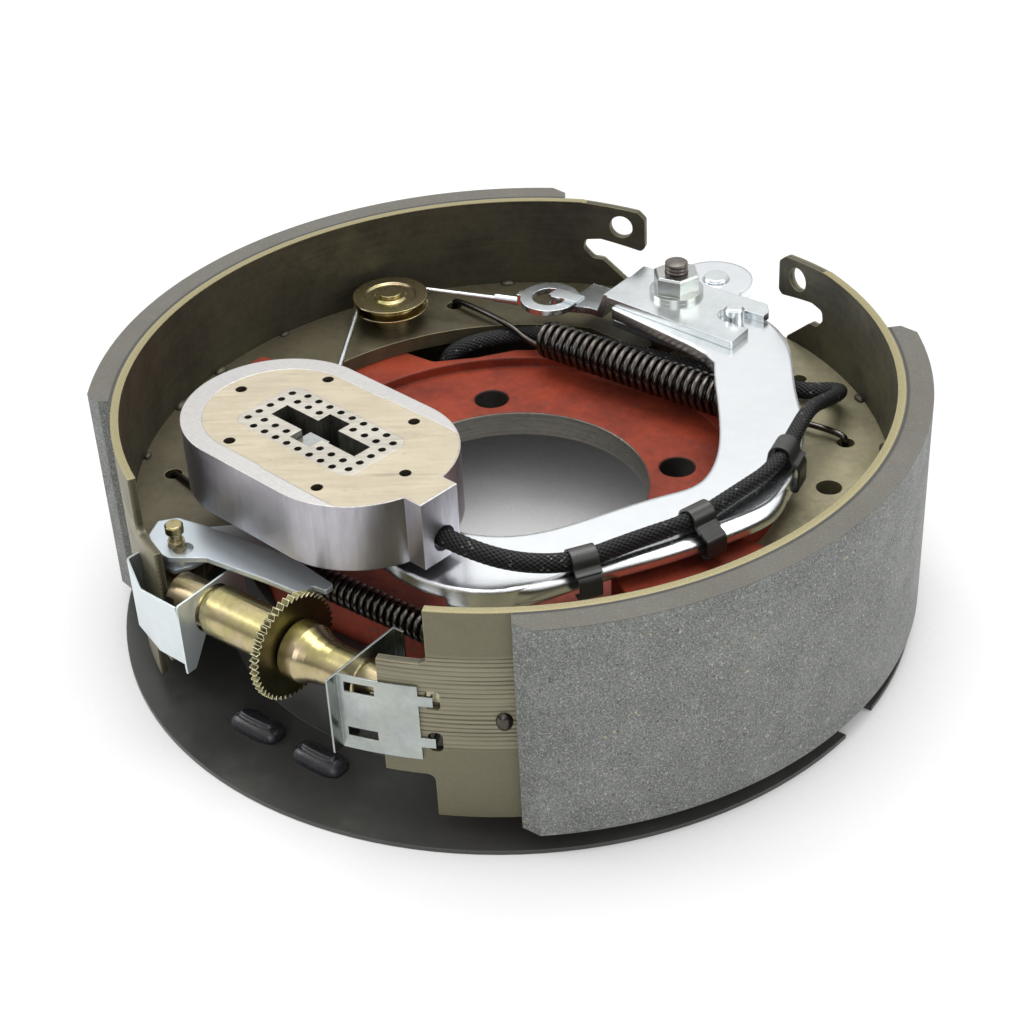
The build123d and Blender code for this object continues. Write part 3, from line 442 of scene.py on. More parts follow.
@dataclass(frozen=True)
class FrictionLining(Finish):
    """Moulded friction stuff, ground round, with pale fibres and brass flecks."""

    body: Colour
    shade: Colour
    cut_top: Colour = (0.075, 0.068, 0.05)
    top_m: float = 0.0597
    seam_m: float = 0.1448

    def paint(self, b: Brush) -> None:
        """Grey body with clouds, dark pits, fine pale flecks and short fibres, browner on its cut top."""
        radius, height = b.polar(b.spot)
        cloud = b.use(MOTTLE, Scale=48.0, Low=0.3, High=0.7)
        grain = b.noise(b.spot, 1700.0, 5.0)
        tone = b.mix(cloud, self.shade, self.body)
        tone = b.mix(b.span(grain, 0.45, 0.68, 0.0, 0.42), tone, (0.42, 0.43, 0.42))
        tone = b.mix(b.span(grain, 0.3, 0.46, 0.5, 0.0), tone, (0.03, 0.03, 0.03))
        flecks = (
            (760.0, 0.05, 0.3, (0.025, 0.024, 0.022), 0.7),
            (1500.0, 0.1, 0.36, (0.5, 0.5, 0.46), 0.5),
            (900.0, 0.012, 0.3, (0.5, 0.4, 0.2), 0.8),
        )
        for scale, share, size, colour, weight in flecks:
            tone = b.stain(tone, b.use(SPECKS, Scale=scale, Share=share, Size=size), weight, colour)
        ridge = b.math("ABSOLUTE", b.math("SUBTRACT", b.noise(b.spot, 420.0, 1.0), 0.5))
        sparse = b.math("GREATER_THAN", b.noise(b.spot, 640.0, 1.0), 0.6)
        tone = b.stain(tone, b.times(b.math("LESS_THAN", ridge, 0.012), sparse), 0.6, (0.5, 0.5, 0.45))
        cut = b.math("GREATER_THAN", height, self.top_m)
        tone = b.stain(tone, cut, 0.8, self.cut_top)
        seam = b.times(cut, b.span(radius, self.seam_m + 0.0007, self.seam_m + 0.0016, 0.97, 0.0))
        tone = b.mix(seam, tone, (0.015, 0.014, 0.012))
        tone = b.stain(tone, b.use(WORN_EDGE, Width=0.0014, Break=260.0, Gain=3.5), 0.3, (0.36, 0.37, 0.36))
        scratch = b.use(LINES, Squeeze=(0.25, 0.25, 5.0), Scale=120.0)
        relief = b.plus(grain, b.times(scratch, 1.2))
        b.fill(tone, b.span(cloud, 0, 1, 0.66, 0.52), 0.0, relief, edge=0.0009, depth=0.0002)


@dataclass(frozen=True)
class BrushedAluminium(Finish):
    """Machined aluminium casing, brushed along the casing's length."""

    light: Colour
    dark: Colour
    wall: Colour
    turn_deg: float = -6.0
    top_m: float = 0.0678

    def paint(self, b: Brush) -> None:
        """Fine lines along the casing's length and faint upright lines down its walls."""
        turned = b.turned(-self.turn_deg)
        along = b.use(LINES, Vector=turned, Squeeze=(0.12, 3.0, 0.5), Scale=300.0)
        upright = b.use(LINES, Vector=turned, Squeeze=(5.0, 5.0, 0.06), Scale=110.0)
        both = b.plus(b.times(along, 0.5), b.times(upright, 0.5))
        tone = b.mix(b.span(both, 0.38, 0.6), self.dark, self.light)
        tone = b.stain(tone, b.use(MOTTLE, Scale=45.0), 0.3, self.light)
        side = b.mix(b.span(both, 0.3, 0.7), dim(self.wall, 0.78), self.wall)
        tone = b.mix(b.math("GREATER_THAN", b.polar(b.spot)[1], self.top_m), side, tone)
        b.fill(tone, b.span(both, 0.35, 0.65, 0.42, 0.28), 1.0, both, edge=0.0005, depth=0.00003)


@dataclass(frozen=True)
class GroundFace(Finish):
    """A ground magnet face: filled resin or steel with slanting grain, and dark walls in its holes, partly their own
    darker metal and partly painted shade.
    """

    light: Colour
    dark: Colour
    wall: Colour
    metallic: float
    roughness: float
    top_m: float = 0.0679
    grain_deg: float = -36.0
    pit_tone: Colour = (0.3, 0.27, 0.22)

    def paint(self, b: Brush) -> None:
        """Pale face with soft stains, fine slanting scratches and a few dark pits."""
        turned = b.turned(self.grain_deg)
        cloud = b.use(MOTTLE, Scale=60.0, Low=0.3, High=0.7)
        lines = b.use(LINES, Vector=turned, Squeeze=(0.35, 4.0, 1.0), Scale=170.0)
        scratch = b.use(LINES, Vector=turned, Squeeze=(0.15, 2.2, 1.0), Scale=60.0)
        sharp = b.span(lines, 0.35, 0.65)
        tone = b.mix(b.times(b.plus(cloud, sharp), 0.5), self.dark, self.light)
        tone = b.mix(b.span(scratch, 0.34, 0.4, 0.35, 0), tone, self.wall)
        tone = b.stain(tone, b.use(SPECKS, Scale=420.0, Share=0.04, Size=0.3), 0.4, self.pit_tone)
        # Faces below the top are the holes' walls: their dark colour is partly the walls' own colour and partly
        # painted shade in the holes.
        deep = b.mix(sharp, dim(self.wall, 0.5), self.wall)
        tone = b.mix(b.math("LESS_THAN", b.polar(b.spot)[1], self.top_m), tone, deep)
        rough = b.span(lines, 0.3, 0.7, self.roughness - 0.08, self.roughness + 0.1)
        b.fill(tone, rough, self.metallic, lines, edge=0.0004, depth=0.00004)


@dataclass(frozen=True)
class BlackRubber(Finish):
    """Moulded rubber with a soft shine and dust."""

    tone: Colour
    roughness: float

    def paint(self, b: Brush) -> None:
        """Near-black with dusty patches and a fine grain."""
        dust = b.use(MOTTLE, Scale=90.0, Low=0.45, High=0.75)
        tone = b.stain(self.tone, dust, 0.5, dim(self.tone, 3.2))
        rough = b.span(dust, 0, 1, self.roughness, self.roughness + 0.18)
        b.fill(tone, rough, 0.0, b.noise(b.spot, 1200.0), edge=0.0006, depth=0.00004)


@dataclass(frozen=True)
class BraidedSleeve(Finish):
    """Black braid whose strands catch light; the braid's relief is in the mesh and its own attribute."""

    tone: Colour
    crown: Colour
    glint: Colour

    def paint(self, b: Brush) -> None:
        """Painted shade between the strands and painted highlight on their crowns, by the strand attribute, with
        painted glints on odd strands.
        """
        crown = b.add("Attribute", attribute_name="crown").outputs["Fac"]
        glint = b.use(SPECKS, Scale=700.0, Share=0.12, Size=0.4)
        # Painted shade in the gaps between strands and painted highlight on their crowns; painted glints on some
        # crowns.
        tone = b.mix(b.span(crown, 0.45, 0.95), self.tone, self.crown)
        lit = b.times(glint, b.span(crown, 0.6, 1.0, 0, 0.5))
        threads = b.plus(crown, b.times(b.noise(b.spot, 2600.0, 2.0), 0.3))
        bump = b.add("Bump", Strength=0.7, Distance=0.0003, Height=threads)
        b.put(b.shader, "Base Color", b.mix(lit, tone, self.glint))
        b.put(b.shader, "Roughness", b.span(crown, 0.4, 1.0, 0.85, 0.42))
        b.put(b.shader, "Specular IOR Level", 0.28)
        b.put(b.shader, "Normal", bump.outputs[0])


RED_PRIMER = Primer("red_primer", (0.25, 0.038, 0.016), (0.13, 0.021, 0.011), (0.2, 0.19, 0.165))
SHIELD_PAINT = SatinPaint("shield_paint", (0.055, 0.055, 0.051), (0.12, 0.12, 0.11), 0.34)
CLIP_PAINT = SatinPaint("clip_paint", (0.02, 0.02, 0.018), (0.06, 0.06, 0.055), 0.34)
BRIGHT_ZINC = PlatedMetal("bright_zinc", (0.76, 0.79, 0.79), (0.56, 0.6, 0.61), 0.2, 34.0)
LEVER_ZINC = PlatedMetal("lever_zinc", (0.84, 0.86, 0.87), (0.72, 0.75, 0.77), 0.2, 18.0, 0.002)
NUT_ZINC = PlatedMetal("nut_zinc", (0.56, 0.58, 0.57), (0.36, 0.38, 0.38), 0.18, 60.0, 0.0003, tint=(0.5, 0.5, 0.42))
PAWL_ZINC = PlatedMetal(
    "pawl_zinc", (0.66, 0.71, 0.74), (0.54, 0.6, 0.63), 0.34, 24.0, 0.0006, tint=(0.5, 0.6, 0.68), metallic=0.7
)
# Lit and shaded copies of one zinc on the two shoe clips: the left clip painted lighter as painted light, the right
# clip painted darker as painted shade.
LIT_LEFT_CLIP_ZINC = PlatedMetal(
    "lit_left_clip_zinc", (0.72, 0.78, 0.79), (0.62, 0.68, 0.7), 0.3, 24.0, 0.0002, tint=(0.6, 0.68, 0.7), metallic=0.75
)
SHADED_RIGHT_CLIP_ZINC = PlatedMetal(
    "shaded_right_clip_zinc", (0.42, 0.45, 0.44), (0.24, 0.26, 0.25), 0.2, 50.0, 0.0002, tint=(0.4, 0.42, 0.36), tinted=0.4
)
# Yellow zinc and the star wheel's zinc get lighter rubbed edges: partly real wear, partly painted highlight on the
# edges and the wheel's teeth.
YELLOW_ZINC = PlatedMetal(
    "yellow_zinc", (0.56, 0.49, 0.24), (0.26, 0.23, 0.09), 0.22, 55.0, tint=(0.5, 0.37, 0.33), tinted=0.4, rubbed=0.3
)
WHEEL_ZINC = PlatedMetal(
    "wheel_zinc", (0.2, 0.185, 0.085), (0.1, 0.09, 0.04), 0.3, 60.0, tint=(0.3, 0.27, 0.15), rubbed=1.0
)
DARK_STEEL = PlatedMetal("dark_steel", (0.2, 0.18, 0.165), (0.07, 0.062, 0.058), 0.36, 90.0, tint=(0.2, 0.13, 0.1))
SPRING_BLACK = PlatedMetal(
    "spring_black", (0.11, 0.098, 0.084), (0.05, 0.045, 0.04), 0.22, 90.0, tint=(0.07, 0.07, 0.085)
)
OLIVE = Chromate("olive_chromate", (0.085, 0.078, 0.05), (0.034, 0.031, 0.021), cut=(0.33, 0.29, 0.15))
# One chromate in lit and shaded copies on the two webs: the left web painted darker as painted shade, the right web
# painted lighter as painted light.
SHADED_LEFT_WEB = Chromate("shaded_left_web", (0.12, 0.104, 0.06), (0.055, 0.047, 0.028), turned=(0.3, 0.28, 0.19))
LIT_RIGHT_WEB = Chromate("lit_right_web", (0.33, 0.3, 0.19), (0.16, 0.145, 0.085), turned=(0.3, 0.28, 0.19))
LINING = FrictionLining("friction_lining", (0.155, 0.163, 0.15), (0.1, 0.106, 0.097))
CASING = BrushedAluminium("casing_aluminium", (0.56, 0.545, 0.53), (0.42, 0.41, 0.4), (0.46, 0.445, 0.48))
TAN_FACE = GroundFace("tan_face", (0.47, 0.42, 0.31), (0.36, 0.31, 0.22), (0.1, 0.08, 0.055), 0.25, 0.42)
CORE_FACE = GroundFace("core_face", (0.48, 0.455, 0.4), (0.35, 0.33, 0.28), (0.16, 0.155, 0.13), 0.75, 0.4)
RUBBER = BlackRubber("black_rubber", (0.02, 0.02, 0.024), 0.26)
BRAID = BraidedSleeve("braided_sleeve", (0.0015, 0.0015, 0.0015), (0.013, 0.013, 0.0135), (0.45, 0.45, 0.4))

DRESS: tuple[tuple[Finish, str], ...] = (
    (RED_PRIMER, "spider"),
    (SHIELD_PAINT, "dust_shield"),
    (RUBBER, "lead_grommet"),
    (NUT_ZINC, "anchor_nut magnet_clip"),
    (DARK_STEEL, "anchor_post magnet_spring"),
    (BRIGHT_ZINC, "guide_plate cable_bracket cable_eye push_stud stop_pin magnet_post cable_hook"),
    (LEVER_ZINC, "actuating_lever"),
    (CASING, "magnet_body"),
    (TAN_FACE, "magnet_pad"),
    (CORE_FACE, "magnet_core"),
    (OLIVE, "primary_rim secondary_rim"),
    (LIT_RIGHT_WEB, "primary_web"),
    (SHADED_LEFT_WEB, "secondary_web"),
    (LINING, "primary_lining secondary_lining"),
    (SHADED_RIGHT_CLIP_ZINC, "primary_clip"),
    (YELLOW_ZINC, "adjuster_sleeve adjuster_nut lever_pin guide_post cable_guide"),
    (WHEEL_ZINC, "star_wheel"),
    (PAWL_ZINC, "adjuster_lever lever_link"),
)


# Meshes


def unit(vectors: Array) -> Array:
    """The same vectors at a length of 1."""
    return vectors / np.linalg.norm(vectors, axis=-1, keepdims=True)


def around(columns: int) -> Array:
    """A row of angles, once round."""
    return np.linspace(0, FULL_TURN, columns, endpoint=False)[None, :]


def coordinates(mesh: Mesh) -> Array:
    """A mesh's vertices by 3."""
    raw = np.zeros(len(mesh.vertices) * 3)
    mesh.vertices.foreach_get("co", raw)
    return raw.reshape(-1, 3)


def arc_length(path: Array) -> Array:
    """Distance travelled to each point of a path."""
    return np.concatenate([[0], np.cumsum(np.linalg.norm(np.diff(path, axis=0), axis=1))])


def grid_mesh(points: Array, caps: bool = True) -> Mesh:
    """Makes a mesh from closed rings of points, one after another.

    Args:
        points: rings by columns by 3, in metres.
        caps: whether the first and last rings are each closed by one face.

    Returns:
        The mesh, with smooth faces.
    """
    rows, cols = points.shape[:2]
    row, here = np.meshgrid(np.arange(rows - 1) * cols, np.arange(cols), indexing="ij")
    right = (here + 1) % cols
    faces = np.stack([row + here, row + right, row + cols + right, row + cols + here], -1).reshape(-1, 4).tolist()
    if caps:
        faces += [list(range(cols))[::-1], list(range((rows - 1) * cols, rows * cols))]
    mesh = bpy.data.meshes.new("grid")
    mesh.from_pydata(points.reshape(-1, 3).tolist(), [], faces)
    mesh.validate()
    mesh.shade_smooth()
    return mesh


def swept(path: Array, radii: Array, first: Array, second: Array) -> Array:
    """A tube's points: centre plus radius times the cosine and sine of the angle along its crossways vectors."""
    angle = around(radii.shape[1])[..., None]
    return path[:, None] + radii[:, :, None] * (np.cos(angle) * first[:, None] + np.sin(angle) * second[:, None])


def tube_points(path: Array, radii: Array, heading: Point = (1.0, 0.0, 0.0)) -> Array:
    """A tube round a path, in a frame that never flips.

    The first crossways vector is the tangent crossed with up, and where the tangent nears up
    or down, up leans smoothly to the level heading.

    Args:
        path: points by 3.
        radii: points by columns, the radius at each point and angle.
        heading: the level direction in which the path runs where it turns upright.

    Returns:
        Points by columns by 3.
    """
    tangent = unit(np.gradient(path, axis=0))
    upright = np.clip((np.abs(tangent[:, 2:3]) - 0.55) / 0.35, 0, 1)
    level = -np.sign(tangent[:, 2:3]) * np.array(heading)
    first = unit(np.cross(tangent, UP * (1 - upright) + level * upright))
    return swept(path, radii, first, np.cross(tangent, first))


def nurbs_points(name: str, route: Sequence[Point], step: float) -> Array:
    """Points along a smooth spline whose control points are a route in millimetres.

    Args:
        name: the curve's name while it exists.
        route: the control points.
        step: the distance between the points that are returned, in metres.

    Returns:
        Points by 3, in metres.
    """
    curve = bpy.data.curves.new(name, "CURVE")
    curve.dimensions = "3D"
    curve.resolution_u = 24
    spline = curve.splines.new("NURBS")
    spline.points.add(len(route) - 1)
    for point, place in zip(spline.points, route):
        point.co = (*[MM * v for v in place], 1.0)
    spline.order_u = 3
    spline.use_endpoint_u = True
    holder = bpy.data.objects.new(name, curve)
    line = bpy.data.meshes.new_from_object(holder)
    raw = coordinates(line)
    bpy.data.meshes.remove(line)
    bpy.data.objects.remove(holder)
    bpy.data.curves.remove(curve)
    raw = raw[np.concatenate([[True], np.linalg.norm(np.diff(raw, axis=0), axis=1) > 1e-7])]
    travel = arc_length(raw)
    wanted = np.linspace(0, travel[-1], max(8, int(travel[-1] / step)))
    return np.stack([np.interp(wanted, travel, raw[:, k]) for k in range(3)], 1)


def joined(meshes: Sequence[Mesh]) -> Mesh:
    """Puts several meshes into one, without changing their points."""
    points, faces = [], []
    for mesh in meshes:
        faces += [[v + len(points) for v in face.vertices] for face in mesh.polygons]
        points += coordinates(mesh).tolist()
        bpy.data.meshes.remove(mesh)
    made = bpy.data.meshes.new("joined")
    made.from_pydata(points, [], faces)
    made.shade_smooth()
    return made


def clean_poles(mesh: Mesh) -> Mesh:
    """Merges the points that meet at a pole, turns all faces outwards and returns the mesh."""
    work = bmesh.new()
    work.from_mesh(mesh)
    bmesh.ops.remove_doubles(work, verts=work.verts, dist=1e-7)
    bmesh.ops.recalc_face_normals(work, faces=work.faces)
    work.to_mesh(mesh)
    work.free()
    mesh.shade_smooth()
    return mesh


def band_mesh(line: Array, across: Array, normal: Array, sheet: float) -> Mesh:
    """A flat strip of sheet: at each point of a line, an oblong of the strip's width and the sheet's thickness.

    Args:
        line: points by 3, the middle of the strip, in millimetres.
        across: points by 3, or one vector, half the strip's width.
        normal: points by 3, unit vectors out of the strip's face.
        sheet: the sheet's thickness.

    Returns:
        The mesh.
    """
    across, lift = np.broadcast_to(across, line.shape), normal * sheet / 2
    ring = np.stack([line - across - lift, line + across - lift, line + across + lift, line - across + lift], 1)
    return clean_poles(grid_mesh(ring * MM))


def rounded_line(corners: Sequence[Flat], cut: float, steps: int = 6) -> Array:
    """A line in a plane whose corners are replaced by short curves, each a quadratic between its two cut points."""
    raw = np.array(corners, float)
    points = [raw[:1]]
    share = np.linspace(0, 1, steps)[:, None]
    for before, here, after in zip(raw[:-2], raw[1:-1], raw[2:]):
        spans = [np.linalg.norm(other - here) for other in (before, after)]
        reach = [min(cut, 0.45 * span) / span for span in spans]
        first, last = here + (before - here) * reach[0], here + (after - here) * reach[1]
        points.append(first * (1 - share) ** 2 + 2 * here * share * (1 - share) + last * share**2)
    return np.concatenate([*points, raw[-1:]])


def smooth_line(points: Array, steps: int) -> Array:
    """A smooth line through points: between two of them a cubic whose slopes come from their neighbours."""
    padded = np.concatenate([2 * points[:1] - points[1:2], points, 2 * points[-1:] - points[-2:-1]])
    a, b, c, d = padded[:-3, None], padded[1:-2, None], padded[2:-1, None], padded[3:, None]
    t = np.linspace(0, 1, steps, endpoint=False)[None, :, None]
    line = b + 0.5 * t * (c - a + t * (2 * a - 5 * b + 4 * c - d + t * (3 * (b - c) + d - a)))
    return np.concatenate([line.reshape(-1, points.shape[1]), points[-1:]])


def line_normals(line: Array) -> Array:
    """The unit normals to the left of a line in a plane."""
    run = unit(np.gradient(line, axis=0))
    return np.stack([-run[:, 1], run[:, 0]], 1)


def rim_ball(angle: float, radius: float, height: float, size: Sequence[float], rings: tuple[int, int]) -> Mesh:
    """A flattened ball on a shoe: its centre plus the sphere's three parts times its lengths.

    Args:
        angle: from +Y towards +X, in radians.
        radius: the centre's distance from the axis, in millimetres.
        height: the centre's height.
        size: half the length along the rim, outwards and upwards.
        rings: rows from pole to pole, and columns.

    Returns:
        The mesh, open at its poles until clean_poles has closed them.
    """
    along = np.array([math.cos(angle), -math.sin(angle), 0.0])
    out = np.array([math.sin(angle), math.cos(angle), 0.0])
    lat, lon = np.linspace(-np.pi / 2, np.pi / 2, rings[0])[:, None, None], around(rings[1])[..., None]
    ball = np.cos(lat) * (size[0] * np.cos(lon) * along + size[1] * np.sin(lon) * out) + size[2] * np.sin(lat) * UP
    return grid_mesh((out * radius + UP * height + ball) * MM, caps=False)


# Pieces


def placed(name: str, data: bpy.types.ID) -> Object:
    """Makes an object at the origin from its finished data."""
    made = bpy.data.objects.new(name, data)
    bpy.context.scene.collection.objects.link(made)
    return made


@dataclass
class Paints:
    """Every finish on the brake and every node group in them, each built once."""

    made: dict[str, Material] = field(default_factory=dict)
    groups: dict[str, NodeTree] = field(default_factory=dict)

    def cover(self, mesh: Mesh, finish: Finish) -> None:
        """Gives a mesh its finish, building it the first time."""
        if finish.name not in self.made:
            self.made[finish.name] = finish.material(self.groups)
        mesh.materials.clear()
        mesh.materials.append(self.made[finish.name])

    def piece(self, name: str, mesh: Mesh, finish: Finish, replaces: str, body: Body | None) -> Object:
        """Args:
            name: the piece's name.
            mesh: its mesh.
            finish: its finish.
            replaces: the CAD node in whose place it stands, or nothing.
            body: the body that it rides, or None if it bends between two.

        Returns:
            The object.
        """
        made = placed(name, mesh)
        mesh.name = name
        self.cover(mesh, finish)
        if body:
            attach(made, body.value)
        if replaces:
            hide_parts(replaces)
        LOG.info("%s: %d faces", name, len(mesh.polygons))
        return made

    def dress(self) -> None:
        """Gives every CAD node that is shown as it is its finish."""
        for finish, nodes in DRESS:
            for node in nodes.split():
                self.cover(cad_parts[node].data, finish)
                LOG.info("dressed %s in %s", node, finish.name)


@dataclass
class BraidedLead:
    """The two-wire lead in its braid, from the magnet over the lever and down through the shield."""

    radius: float = 3.5
    strands: int = 11
    pitch: float = 25.0
    relief: float = 0.42
    hidden: float = 0.45
    columns: int = 66
    thin: float = 0.8
    twist_deg: Flat = (53.6, 143.6)
    twist_mm: Flat = (25.0, 150.0)
    route: tuple[Point, ...] = (
        (34, -83.3, 50.2), (47, -83, 48.5), (63, -75.5, 44.6), (77, -63, 43.2), (85, -43, 43.2),
        (96, -20, 43.2), (99, 3, 43.2), (101.5, 22, 43.2), (96.5, 43, 43.2), (90.5, 65, 42.4),
        (88, 83, 35.5), (86, 97, 30.6), (80, 103.5, 26.6), (70, 98.5, 25.2), (56, 96, 25.0),
        (36, 92.3, 24.2), (-8, 90.3, 22.4), (-45, 89.8, 19.6), (-63, 79, 18.4), (-76, 64.5, 16.4),
        (-81, 56.8, 9.5), (-81, 56.2, -12),
    )

    def build(self, paints: Paints) -> None:
        """Makes the braid: two families of strands wound opposite ways, the taller one on top at each place.

        The section is an ellipse, since two wires lie side by side in it, and it turns a quarter on its way.
        """
        path = nurbs_points("lead_line", self.route, 0.4 * MM)
        travel, angle = arc_length(path)[:, None], around(self.columns)
        turn = FULL_TURN * travel / (self.pitch * MM)
        one, other = self.strands * (angle - turn) / 2, self.strands * (angle + turn) / 2
        over = 0.5 + 0.5 * np.cos(one + other)
        upper, lower = 1 - self.hidden + self.hidden * over, 1 - self.hidden * over
        crown = np.maximum(np.abs(np.cos(one)) * upper, np.abs(np.cos(other)) * lower)
        turned = angle - np.radians(np.interp(travel / MM, self.twist_mm, self.twist_deg))
        oblong = 1 / np.sqrt(np.cos(turned) ** 2 + (np.sin(turned) / self.thin) ** 2)
        radii = (self.radius * oblong - self.relief + self.relief * crown) * MM
        mesh = grid_mesh(tube_points(path, radii, (-0.6, -0.8, 0.0)))
        store = mesh.attributes.new("crown", "FLOAT", "POINT")
        store.data.foreach_set("value", crown.astype(np.float32).ravel())
        made = paints.piece("magnet_lead_braid", mesh, BRAID, "magnet_lead", None)
        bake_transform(made)


@dataclass
class WireRope:
    """The adjuster's wire rope, round the pulley's outer side and down to the link plate."""

    radius: float = 1.15
    relief: float = 0.28
    strands: int = 6
    pitch: float = 9.0
    pulley: Flat = (-107.5, 57.8)
    groove: float = 12.6
    eye: Flat = (-48.0, 90.0)
    hook: Flat = (-27.5, -95.5)
    crimp: float = 24.1
    height: float = 31.5
    rise_at_eye: float = 0.3
    rows: tuple[int, int, int] = (120, 90, 420)
    sag_at: tuple[float, ...] = (0.12, 0.32, 0.62, 0.9)
    sag: tuple[float, ...] = (0.15, 0.5, 1.6, 3.4)

    def touch(self, point: Flat, side: int) -> Array:
        """Where the line from a point touches the groove's circle on the outer side."""
        away = np.array(point) - np.array(self.pulley)
        angle = math.atan2(away[1], away[0]) + side * math.acos(self.groove / np.linalg.norm(away))
        return np.array(self.pulley) + self.groove * np.array([math.cos(angle), math.sin(angle)])

    def path(self) -> Array:
        """Straight to the groove, an arc round it, and straight on, sinking a little to the hook."""
        centre, eye, hook = np.array(self.pulley), np.array(self.eye), np.array(self.hook)
        first, last = self.touch(self.eye, 1), self.touch(self.hook, -1)
        share = np.linalg.solve(np.stack([first - eye, hook - last], 1), hook - eye)
        corner = eye + share[0] * (first - eye)
        start, end = eye + unit(corner - eye) * self.crimp, corner + (hook - corner) * self.sag_at[-1]
        a0, a1 = (math.atan2(*(p - centre)[::-1]) for p in (first, last))
        bend = np.linspace(a0, a1 + 2 * math.pi * (a1 < a0), self.rows[1])
        arc = centre + self.groove * np.stack([np.cos(bend), np.sin(bend)], 1)
        run_in = start + (first - start) * np.linspace(0, 1, self.rows[0], endpoint=False)[:, None]
        run_out = last + (end - last) * np.linspace(0, 1, self.rows[2])[1:, None]
        plan = np.concatenate([run_in, arc, run_out])
        run = np.linalg.norm(run_out - corner, axis=1) / np.linalg.norm(hook - corner)
        rise = np.zeros(len(plan))
        rise[: len(run_in)] = np.linspace(self.rise_at_eye, 0, len(run_in))
        rise[-len(run_out) :] = -np.interp(run, self.sag_at, self.sag)
        return np.column_stack([plan, self.height + rise]) * MM

    def build(self, paints: Paints) -> None:
        """Makes the rope: a tube whose radius rises at each strand, the strands turning with the travel."""
        path = self.path()
        turn = FULL_TURN * arc_length(path)[:, None] / (self.pitch * MM)
        wave = np.abs(np.cos(self.strands * (around(24) - turn) / 2))
        mesh = grid_mesh(tube_points(path, (self.radius - self.relief + self.relief * wave) * MM))
        made = paints.piece("adjuster_rope", mesh, BRIGHT_ZINC, "adjuster_cable", None)
        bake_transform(made)


@dataclass
class CoilSpring:
    """A close-wound tension spring along X with a wire hook into each shoe's web."""

    name: str
    node: str
    ends: Flat
    centre: Flat
    radius: float
    wire: float
    turns: int
    left: tuple[Point, ...]
    right: tuple[Point, ...]
    drawn_in: float = 0.25
    per_turn: int = 28
    columns: int = 12

    def coil(self) -> Array:
        """The wire's centre line: a circle that moves on by one pitch for each turn, drawn in at both ends."""
        share = np.linspace(0, 1, self.turns * self.per_turn)
        angle = -np.pi / 2 + share * self.turns * FULL_TURN
        x = self.ends[0] + self.wire / 2 + share * (self.ends[1] - self.ends[0] - self.wire)
        taper = 1 - self.drawn_in * np.exp(-((np.minimum(share, 1 - share) * self.turns / 0.5) ** 2))
        reach = (self.radius - self.wire / 2) * taper
        y, z = self.centre[0] + reach * np.cos(angle), self.centre[1] + reach * np.sin(angle)
        return np.column_stack([x, y, z]) * MM

    def coil_frame(self, path: Array) -> tuple[Array, Array]:
        """The direction away from the coil's axis at each point of its wire, and the third direction."""
        tangent = unit(np.gradient(path, axis=0))
        outward = (path - np.array([0.0, *self.centre]) * MM) * np.array([0.0, 1.0, 1.0])
        outward = unit(outward - tangent * np.sum(outward * tangent, axis=1, keepdims=True))
        return outward, np.cross(tangent, outward)

    def radii(self, path: Array) -> Array:
        """The wire's radius at each point of a path and each angle."""
        return np.full((len(path), self.columns), self.wire / 2 * MM)

    def build(self, paints: Paints) -> None:
        """Makes the coil and both hooks as round wire."""
        coil = self.coil()
        tubes = [swept(coil, self.radii(coil), *self.coil_frame(coil))]
        for start, hook, heading in ((coil[0], self.left, -1.0), (coil[-1], self.right, 1.0)):
            line = nurbs_points(self.name, (tuple(start / MM), *hook), 0.5 * MM)
            tubes.append(tube_points(line, self.radii(line), (heading, 0.0, 0.0)))
        mesh = joined([grid_mesh(tube) for tube in tubes])
        made = paints.piece(self.name, mesh, SPRING_BLACK, self.node, None)
        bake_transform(made)


@dataclass
class ThreadedStud:
    """The anchor stud with a real thread above the nut."""

    centre: Flat = (0.0, 112.5)
    radius: float = 4.75
    low: float = 0.0
    thread: float = 44.0
    top: float = 56.0
    pitch: float = 1.5
    dip: float = 0.62
    chamfer: float = 0.75
    closed: float = 0.02
    step: float = 0.14

    def build(self, paints: Paints) -> None:
        """Makes a round bar whose radius dips in a sharp wave that climbs one pitch a turn."""
        turns = np.arange(self.thread - 2.5, self.top - 0.9, self.step)
        heights = np.array([self.low, self.thread - 3, *turns, self.top - 0.4, self.top, self.top])[:, None]
        angle = around(40)
        phase = (heights / self.pitch + angle / FULL_TURN) % 1.0
        active = np.clip((heights - self.thread + 2) / 1.0, 0, 1) * np.clip((self.top - heights) / 0.9, 0, 1)
        edge = self.chamfer * (heights > self.top - 0.2)
        radius = self.radius - self.dip * np.abs(2 * phase - 1) * active - edge
        radius[-1] = self.closed
        x, y = self.centre[0] + radius * np.cos(angle), self.centre[1] + radius * np.sin(angle)
        mesh = grid_mesh(np.stack([x, y, np.broadcast_to(heights, radius.shape)], -1) * MM)
        paints.piece("threaded_stud", mesh, DARK_STEEL, "anchor_stud", Body.BACKING)


@dataclass
class WeldNubs:
    """The row of small welds that join a web to its rim."""

    side: int
    body: Body
    radius: float = 140.6
    height: float = 21.2
    size: Point = (3.6, 2.0, 1.7)
    angles: tuple[float, ...] = tuple(range(38, 137, 14))

    def build(self, paints: Paints) -> None:
        """Makes one flattened ball for each weld, of uneven size and spacing."""
        meshes = []
        for number, angle in enumerate(self.angles):
            turn = math.radians(self.side * (angle + 1.3 * math.sin(number * 2.1)))
            scale = 0.85 + 0.2 * math.sin(number * 1.7)
            meshes.append(rim_ball(turn, self.radius, self.height, [scale * s for s in self.size], (9, 14)))
        paints.piece(self.body.value + "_welds", clean_poles(joined(meshes)), OLIVE, "", self.body)


